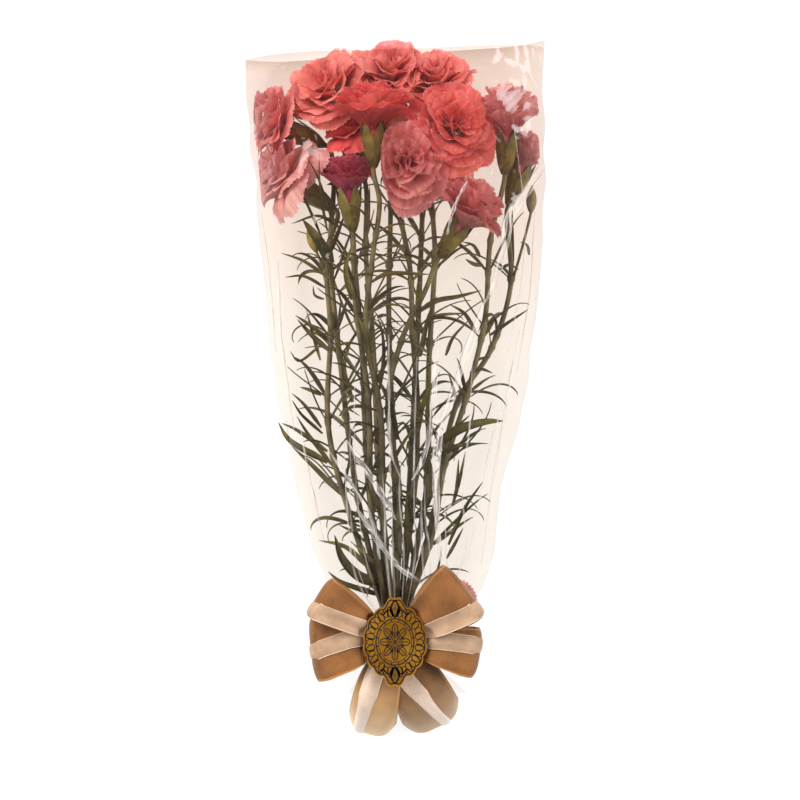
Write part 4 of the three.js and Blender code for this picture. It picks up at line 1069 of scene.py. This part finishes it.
def grow_leaves(grown, seed, spacing, start, margin, room, lengths=(44, 84), widths=(4, 6.4), arch=0.0):
    """Opposite pairs of leaves up each stem. A leaf is drawn again where it would touch."""
    draw = Draws(seed)
    nodes = []
    for owner, flower in enumerate(flowers):
        curve = flower.stem
        distance = start + 14 * draw()
        pair = 0
        nodes.append([])
        while distance < curve.length - LEAFLESS_END:
            nodes[owner].append(distance)
            share = distance / curve.length
            tangent, root = curve.tangent(share), curve.at(share)
            flat_side = unit(np.cross((0, 0, 1), tangent))
            up_side = np.cross(tangent, flat_side)
            for side in (0, math.pi):
                for _ in range(LEAF_TRIES):
                    angle = side + (pair % 2) * 0.9 + mix(-0.7, 0.7, draw())
                    outward = flat_side * math.cos(angle) + up_side * math.sin(angle)
                    lift = mix(0.45, 0.95, draw())
                    leaf = {
                        "owner": owner,
                        "start": root + outward * STEM_RADIUS * 0.35,
                        "along": tangent * math.cos(lift) + outward * math.sin(lift),
                        "away": tangent * -math.sin(lift) + outward * math.cos(lift),
                        "length": mix(*lengths, draw()) * mix(1.05, 0.72, share),
                        "width": mix(*widths, draw()) * mix(1.1, 0.75, share),
                        "turn": mix(-0.4, 1.1, draw()) + 0.6 * arch,
                        "curl": mix(-0.6, 1.4, draw()) + arch,
                        "roll": mix(-1.2, 1.2, draw()),
                    }
                    leaf["path"] = leaf_path(leaf)
                    inside = room_in_sleeve(leaf_path(leaf, LEAF_FINE_STEPS)).min() > room
                    if inside and leaf_fits(leaf, grown, margin):
                        grown.append(leaf)
                        break
            pair += 1
            distance += spacing * mix(0.8, 1.15, draw())
    return nodes


def blade(mesh, path, widths, flat, roll, channel, tone):
    """A thin blade along a path, with a shallow channel along its middle."""
    ahead = headings(path)
    across = np.cos(roll)[:, None] * flat + np.sin(roll)[:, None] * np.cross(flat, ahead)
    sides = np.linspace(-0.5, 0.5, 7)[:, None]
    sunk = channel * (np.abs(sides) * 2) ** 1.6
    grid = path + (sides * widths)[..., None] * across + (sunk * widths)[..., None] * np.cross(across, ahead)
    mesh.sheet(grid, pairs(sides + 0.5, np.linspace(0, 1, len(path))), LEAF_THICKNESS, tone, 0.2)


def grown_leaf(mesh, leaf):
    path = leaf_path(leaf, LEAF_FINE_STEPS)[::1]
    s = np.linspace(0, 1, len(path))
    widths = leaf["width"] * leaf.get("fuller", 1) * np.minimum(1, 0.45 + 2 * s)
    widths = widths * np.maximum(0.04, (1 - s ** 2.4) ** 0.9)
    flat = unit(np.cross(leaf["along"], leaf["away"]))
    blade(mesh, path, widths, flat, leaf["roll"] * (0.3 + 0.4 * s), 0.16, leaf["length"] * 7.3 % 1)


def placed_leaf(mesh, path, width, roll, tone):
    s = np.linspace(0, 1, len(path))
    widths = width * np.minimum(1, 0.5 + 2 * s) * np.maximum(0.05, (1 - s ** 2.6) ** 0.8)
    flat = units(np.cross((0, 0, 1), headings(path)))
    blade(mesh, path, widths, flat, -roll + 0 * s, -0.18, tone)


def sleeve_point(x, y, share):
    """A point inside the sleeve, at a share of its height there."""
    _, _, low, high = film_at(x, y, 0.95)
    return np.array([x, y, mix(low, high, share)], float)


def placed_leaves():
    """The leaves that the photograph shows clearly, each on the stem nearest to its root."""
    rng = random.Random(5)
    placed = [[] for _ in flowers]
    for width, share, pixels in PLACED_LEAVES:
        points = [sleeve_point(x, y, share + rng.uniform(-0.06, 0.06)) for x, y in from_pixels(pixels)]
        points[-1][2] += rng.uniform(-4, 2)
        gaps = np.linalg.norm(np.array(STEM_POINTS)[..., :2] - points[0][:2], axis=2)
        owner, nearest = np.unravel_index(gaps.argmin(), gaps.shape)
        points[0][2] = mix(points[0][2], STEM_POINTS[owner][nearest][2], 0.8)
        placed[owner].append((Curve(points).spaced(20), width, rng.uniform(-0.5, 0.5), rng.random()))
    return placed


def build_flowers():
    grown = []
    nodes = grow_leaves(grown, LEAF_SEED, NODE_SPACING, start=62, margin=LEAF_MARGIN, room=LEAF_ROOM)
    first = len(grown)
    extra = grow_leaves(grown, LEAF_SEED + 7, **EXTRA_LEAVES)
    for leaf in grown[first:]:
        leaf["fuller"] = EXTRA_LEAF_FULLER
    for flower, own, more, placed in zip(flowers, nodes, extra, placed_leaves()):
        bloom(flower)
        stalk, cup, blades = Builder(), Builder(), Builder()
        stem_tube(stalk, flower, own + more)
        calyx(cup, flower)
        if flower.name in BUDS:
            bud(cup, flower.name)
        for leaf in grown:
            if leaf["owner"] == flower.index:
                grown_leaf(blades, leaf)
        for values in placed:
            placed_leaf(blades, *values)
        for kind, mesh, material in (("stalk", stalk, STEM), ("calyx", cup, CALYX), ("leaves", blades, LEAF)):
            if mesh.count:
                mesh.piece(f"{kind}_{flower.name}", material, "foliage", "stem_" + flower.name)


# The film sleeve

def wrinkle(x, y, seed, wide=1.4, fine=0.5):
    """Soft folds that run along the sleeve, with finer ones over them."""
    value = np.empty(x.shape)
    for place in np.ndindex(x.shape):
        a, b = x[place], y[place]
        value[place] = (wide * noise.noise(Vector((a / 26, b / 85, seed)))
                        + fine * noise.noise(Vector((a / 9 + b / 60, b / 26, seed + 9))))
    return value


def neck_pleats(u, y):
    """Pleats that run into the tie and out of it again."""
    gathered = smoothstep(y, PLEATS_FROM, PLEATS_FULL) * PLEAT_DEPTH * (1 - np.abs(u) ** 6)
    return gathered * np.sin(15 * u + 2.2 * np.sin(3 * u))


def glint_strength(x, y):
    """How strong the painted glints are on the upper sheet, from 0 to 1."""
    total = np.zeros(x.shape)
    for px, py, wide, long, strength in GLINT_PATCHES:
        cx, cy = from_pixels([(px, py)])[0]
        total += strength * np.exp(-(((x - cx) / (wide * PIXEL)) ** 2 + ((y - cy) / (long * PIXEL)) ** 2))
    return np.minimum(total, 1)


def sleeve_film():
    """The clear sleeve: a lower and an upper sheet that meet at the two side folds."""
    mesh = Builder()
    columns, rows = ((110, 190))
    foot, top = SLEEVE_STATIONS[-1, 0], SLEEVE_STATIONS[0, 0]
    u, y = np.meshgrid(-np.cos(np.linspace(0, math.pi, columns)), np.linspace(foot, top, rows), indexing="ij")
    section = sleeve_at(y)
    low, high = film_heights(section, u)
    x = section[0] + section[1] * u
    free = 1 - np.abs(u) ** 4
    upper = high + (wrinkle(x, y, 3) + neck_pleats(u, y)) * free
    lower = low + np.maximum(0, wrinkle(x, y, 8, 0.8, 0.3)) * free
    cut = y - smoothstep(y, *TOP_CUT) * (2 + 5 * smoothstep(u, -0.9, 0.4))
    for z, along, with_glints in ((upper, cut, True), (lower, y, False)):
        aside = x + np.abs(u) ** 5 * 0.9 * np.sin(along / 11 + 2 * np.sin(along / 31))
        grid = np.stack([aside, along + section[5] * aside, z], 2)
        tone = glint_strength(aside, along) if with_glints else 0.0
        mesh.sheet(grid, pairs(u * 0.5 + 0.5, (along - foot) / (top - foot)), tone=tone)
    piece = mesh.piece("film", film_material(), "film", "sleeve")


def neck_creases(rng):
    """Fine folds that fan out of the tie: half width and points."""
    for k in range(NECK_CREASES):
        top = rng.uniform(-90, 30)
        spread = mix(-1, 1, (k + 0.5) / NECK_CREASES) * rng.uniform(0.5, 0.85)
        line = []
        for t in np.linspace(0, 1, 5):
            y = mix(NECK_CREASE_FOOT, top, t)
            middle, half = sleeve_at(y)[:2]
            line.append((middle + half * spread * (1 - 0.25 * t) + rng.uniform(-1.5, 1.5), y))
        yield rng.uniform(0.5, 1.1), line


def film_creases():
    """Narrow folds of film that catch the light and carry a painted highlight, lying on the upper sheet."""
    mesh = Builder()
    rng = random.Random(11)
    across = np.array([-1, -0.4, 0, 0.4, 1])[:, None]
    rise = np.array([0.2, 0.7, 1.1, 0.6, 0.2])[:, None]
    lines = [(width, from_pixels(pixels)) for width, pixels in CREASES] + list(neck_creases(rng))
    for width, line in lines:
        way = smooth_path(line, 60)
        x, y = way.T
        _, u, _, high = film_at(x, y, 0.97)
        z = high + wrinkle(x, y, 3) * (1 - np.abs(u) ** 4) + neck_pleats(u, y)
        ahead = headings(way)
        t = np.linspace(0, 1, len(way))
        swell = width * np.sin(math.pi * np.clip(t * 0.96 + 0.02, 0, 1)) ** 0.4
        aside = across * swell * (1 + 0.35 * np.sin(23 * t + 3 * width) * np.sin(9 * t))
        grid = np.stack([x - ahead[:, 1] * aside, y + ahead[:, 0] * aside, z + rise], 2)
        mesh.sheet(grid, pairs(across * 0.5 + 0.5, t * len(way) * 0.1), tone=rng.random())
    mesh.piece("film_folds", fold_material(), "film")


# The bow

def strap(narrow, degrees, reach, root_half, end_half, side, heights, band, over, rounding, swell, slide=0.0):
    """A ribbon, or the narrow band on it, from the knot outwards along a path seen from the side."""
    angle = math.radians(degrees)
    out = np.array([math.cos(angle), math.sin(angle), 0])
    across = np.array([-out[1], out[0], 0])
    start = KNOT_RADIUS + RIBBON_GAP * (2.6 if narrow else 1)
    share = side[:, 0]
    inner = np.clip(share, 0, 1)
    middle = np.array([*BOW, 0.0]) + out * mix(start, reach, share)[:, None]
    middle[:, 2] = heights
    normal = np.cross(across, headings(middle))
    ribbon_half = mix(root_half, end_half, np.sin(inner * math.pi / 2) ** swell)
    shift, lift, half = 0 * share, 0.0, ribbon_half
    if narrow:
        shift = mix(*band, inner)
        lift = over * (RIBBON / 2 + RIBBON_GAP + BAND / 2)
        half = np.minimum(BAND_HALF, ribbon_half * (1 - np.abs(shift)) + 0.6)
    aside = shift * ribbon_half + slide * np.sin(math.pi * inner ** 0.6)
    w = np.linspace(-1, 1, RIBBON_COLUMNS)[:, None]
    bend = rounding * (reach - start) * w ** 4 * share ** 2
    place = np.clip(shift + w * half / ribbon_half, -1, 1)
    pleat = PLEAT * np.sin(place * 5.2 + 3 * angle) * np.sin(math.pi * np.clip(share * 1.1, 0, 1))
    grid = middle + (aside + w * half)[..., None] * across - bend[..., None] * out
    grid = grid + (lift + pleat)[..., None] * normal
    mesh = Builder()
    edges = np.broadcast_to(np.abs(w), grid.shape[:2])
    mesh.sheet(grid, pairs(w * half, run_of(middle)), BAND if narrow else RIBBON, edges, 1)
    return mesh


def banded_ribbon(kind, name, ribbon, band, length, held, *shape):
    """A loop or a tail of ribbon, and the woven band that goes with it."""
    title = "tail_" + name if kind == "tail" else name
    woven = strap(True, *shape).piece("band_" + title, band, "woven_band", f"{kind}_band_{name}")
    piece = strap(False, *shape).piece("ribbon_" + title, ribbon, "ribbon", f"{kind}_{name}")


def build_bow():
    """The loops and tails, and the ribbon's look on the tie and the knot."""
    # The tails' ribbons and band are lighter copies, with painted light that grows towards their ends
    ribbon, left, right, band, lit_tail_band = (ribbon_material(*look) for look in RIBBON_LOOKS)
    side = smooth_path(LOOP_SIDE, 60)
    for name, degrees, reach, fold, root, tilt, place in LOOPS:
        heights = LOOP_ROOT_Z + side[:, 0] * reach * tilt + side[:, 1]
        banded_ribbon("loop", name, ribbon, band, LOOP_LENGTH, "folded", degrees, reach, root, fold, side,
                      heights, place, 1, 0.06, 0.75)
    side = smooth_path(TAIL_SIDE, 50)
    for (name, degrees, z, root, end, reach, place, slide), material in zip(TAILS, (left, right)):
        banded_ribbon("tail", name, material, lit_tail_band, TAIL_LENGTH, "laid", degrees, reach, root, end, side,
                      z * side[:, 1], place, -1, 0.2, 0.32, slide)
    for node in ("tie_band", "bow_knot"):
        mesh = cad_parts[node].data
        mesh.materials.clear()
        mesh.materials.append(ribbon)


# The badge

def badge_edge(angle):
    """The badge's outline: a scalloped oval with a leaf point above and below."""
    scallop = 0.955 + 0.06 * np.abs(np.sin(8 * angle)) ** 0.8
    point = 0.15 * np.exp(-((np.abs(np.sin(angle)) - 1) / 0.03) ** 2)
    return scallop * (0.94 + point)


def on_badge(radius, angle):
    """Places at shares of the badge's half width and half height."""
    x = BOW[0] + BADGE_WIDTH / 2 * radius * np.cos(angle)
    return pairs(x, BOW[1] + BADGE_HEIGHT / 2 * radius * np.sin(angle))


def ink_fill(mesh, one_side, other_side):
    """A thin black enamel shape between two rows of points on the badge."""
    flat = np.stack([one_side, other_side])
    grid = np.concatenate([flat, np.full(flat.shape[:2] + (1,), BADGE_LOW + INK_HEIGHT)], 2)
    mesh.sheet(grid, np.zeros(flat.shape), INK_THICKNESS, edge=1)


def ink_line(mesh, points, width, closed=False):
    """A thin raised line of black enamel along points on the badge."""
    if closed:
        points = np.concatenate([points[-1:], points, points[:2]])
    ahead = headings(points)
    if closed:
        points, ahead = points[1:-1], ahead[1:-1]
    side = pairs(-ahead[:, 1], ahead[:, 0]) * width / 2
    ink_fill(mesh, points + side, points - side)


def ink_bud(mesh, up):
    """A closed flower bud between two curled leaves, at the top or the foot of the badge."""
    t = np.linspace(0, 1, 14)
    for side in (-1, 1):
        def placed(x, y):
            return pairs(BOW[0] + side * x, BOW[1] + up * y)

        swell = np.sin(math.pi * t) ** 0.8 * (1 - 0.35 * t)
        outer = placed(4.6 * swell, 19.5 + 14 * t)
        ink_line(mesh, outer, 1.1)
        ink_fill(mesh, outer, placed(2.6 * swell, 19.5 + 14 * t))
        ink_line(mesh, placed(0.4 + 8 * t, 20 + 5.5 * np.sin(2.7 * t)), 1.2)
        curl = 2.2 * (1 - 0.75 * t)
        ink_line(mesh, placed(9.6 + curl * np.cos(5.5 * t), 23.4 - curl * np.sin(5.5 * t)), 0.9)
    ink_line(mesh, placed(0, 21.5 + 9 * t), 0.7)


def wreath_leaf(middle, angle, width):
    """Points round a leaf of the wreath."""
    radius = 0.74 + 0.13 * np.cos(angle)
    swing = width * np.sin(angle) * (0.35 + 0.65 * (0.5 - 0.5 * np.cos(angle))) + 0.08 * (radius - 0.6)
    return on_badge(radius, middle + swing)


def badge_plate():
    """A gilt plate with a bevelled edge."""
    angle = turns(BADGE_SIDES)
    edge = badge_edge(angle)
    top = BADGE_LOW + BADGE_THICKNESS
    levels = [(0, BADGE_LOW), (0.97, BADGE_LOW), (1, BADGE_LOW + 0.4), (1, top - 0.5), (0.985, top), (0, top)]
    rings = []
    for share, z in levels:
        rings.append(np.insert(on_badge(np.maximum(share * edge, 0.001), angle), 2, z, axis=1))
    mesh = Builder()
    mesh.add(rings, tube_faces(len(levels), BADGE_SIDES), np.zeros((len(levels) * BADGE_SIDES, 2)))
    mesh.piece("badge_plate", gold_material(), "badge_gold", "badge").data.shade_flat()


def badge_lines():
    """A generic wreath, rosette and buds, drawn on the plate in black lines."""
    lines = Builder()
    edge = turns(BADGE_SIDES)
    ink_line(lines, on_badge(badge_edge(edge) * 0.935, edge), 1.1, True)
    wide = turns(240)
    outer = 0.08 + 0.36 * np.abs(np.cos(4 * wide)) ** 0.6
    inner = 0.05 + 0.22 * np.abs(np.sin(4 * wide)) ** 0.6
    for radius, width in ((0.56, 1.1), (0.49, 0.6), (outer, 0.9), (inner, 0.7)):
        ink_line(lines, on_badge(radius, wide), width, True)
    ink_line(lines, on_badge(0.035, turns(60)), 1.2, True)
    t = np.linspace(0, 1, 12)
    half = np.linspace(0, math.pi, 13)
    for middle in turns(WREATH_LEAVES) + math.pi / WREATH_LEAVES:
        ink_line(lines, wreath_leaf(middle, turns(24), 0.15), 0.8, True)
        ink_fill(lines, wreath_leaf(middle, half, 0.15), wreath_leaf(middle, half, 0.08))
        for side in (-1, 1):
            swing = side * (0.02 + 0.07 * np.sin(3 * t))
            ink_line(lines, on_badge(0.63 + 0.2 * t, middle + math.pi / WREATH_LEAVES + swing), 0.6)
        seed = on_badge(0.525, middle) + 0.4 * pairs(np.cos(turns(6)), np.sin(turns(6)))
        ink_line(lines, seed, 0.6, True)
    for angle in turns(8):
        ink_line(lines, on_badge(np.array([0.2, 0.3, 0.4]), angle), 0.8)
    for up in (1, -1):
        ink_bud(lines, up)
    enamel = Shading("black_enamel")
    enamel.principled(Base_Color=linear((30, 20, 12)), Roughness=0.4)
    lines.piece("badge_lines", enamel.material)


def loose_petal():
    """The fallen petal beside the bow."""
    u = np.linspace(-1, 1, LOOSE_PETAL_COLUMNS)[:, None]
    v = np.linspace(0, 1, 9)[None, :]
    angle = LOOSE_PETAL_TURN + LOOSE_PETAL_SPREAD * u
    teeth = 1 - 0.05 * (np.arange(LOOSE_PETAL_COLUMNS) % 2)[:, None] * v ** 4
    distance = (2 + LOOSE_PETAL_LENGTH * v) * (1 - 0.12 * np.abs(u) ** 3) * teeth
    x = LOOSE_PETAL_ROOT[0] + distance * np.cos(angle)
    y = LOOSE_PETAL_ROOT[1] + distance * np.sin(angle)
    z = film_at(x, y)[2] + 2.6 + 1.3 * v * np.sin(4 * u + 1) + 0.6 * np.sin(11 * u) * v ** 3
    mesh = Builder()
    mesh.sheet(np.stack([x, y, z], 2), pairs(u * 0.5 + 0.5, v), tone=0.6)
    mesh.piece("fallen_petal", PETALS["rose"], "petal_coral", "loose_petal")


# The studio

def area_light(name, place, size, power, mirrored):
    light = bpy.data.lights.new(name, "AREA")
    light.shape = "RECTANGLE"
    light.size, light.size_y = size
    light.energy = power
    obj = linked(name, light)
    obj.visible_glossy = mirrored
    obj.location = place
    obj.rotation_euler = (-Vector(place)).to_track_quat("-Z", "Y").to_euler()


def studio():
    """A pale floor, a white surround, the lights, and a camera that looks straight down."""
    scene = bpy.context.scene
    world = bpy.data.worlds.new("studio")
    world.use_nodes = True
    background = world.node_tree.nodes["Background"]
    background.inputs["Color"].default_value = (1, 1, 1, 1)
    background.inputs["Strength"].default_value = 0.5
    scene.world = world
    scene.view_settings.view_transform = "Standard"
    mesh = bpy.data.meshes.new("floor")
    corners = [(FLOOR_HALF * x, FLOOR_HALF * y, FLOOR_Z) for x, y in ((-1, -1), (1, -1), (1, 1), (-1, 1))]
    mesh.from_pydata(corners, [], [(0, 1, 2, 3)])
    floor = linked("floor", mesh)
    paper = Shading("paper")
    paper.principled(Base_Color=(0.25, 0.25, 0.25, 1), Roughness=0.9, Emission_Color=(1, 1, 1, 1),
                     Emission_Strength=0.83)
    mesh.materials.append(paper.material)
    for light in LIGHTS:
        area_light(*light)
    camera = bpy.data.cameras.new("camera")
    camera.sensor_width = SENSOR
    camera.sensor_fit = "HORIZONTAL"
    camera.lens = SENSOR * (CAMERA_HEIGHT - VIEW_CENTRE[2]) / (PIXEL * PIXELS)
    scene.camera = linked("camera", camera)
    scene.camera.location = (VIEW_CENTRE[0] * MM, VIEW_CENTRE[1] * MM, CAMERA_HEIGHT * MM)


build_flowers()
sleeve_film()
film_creases()
build_bow()
badge_plate()
badge_lines()
loose_petal()
studio()
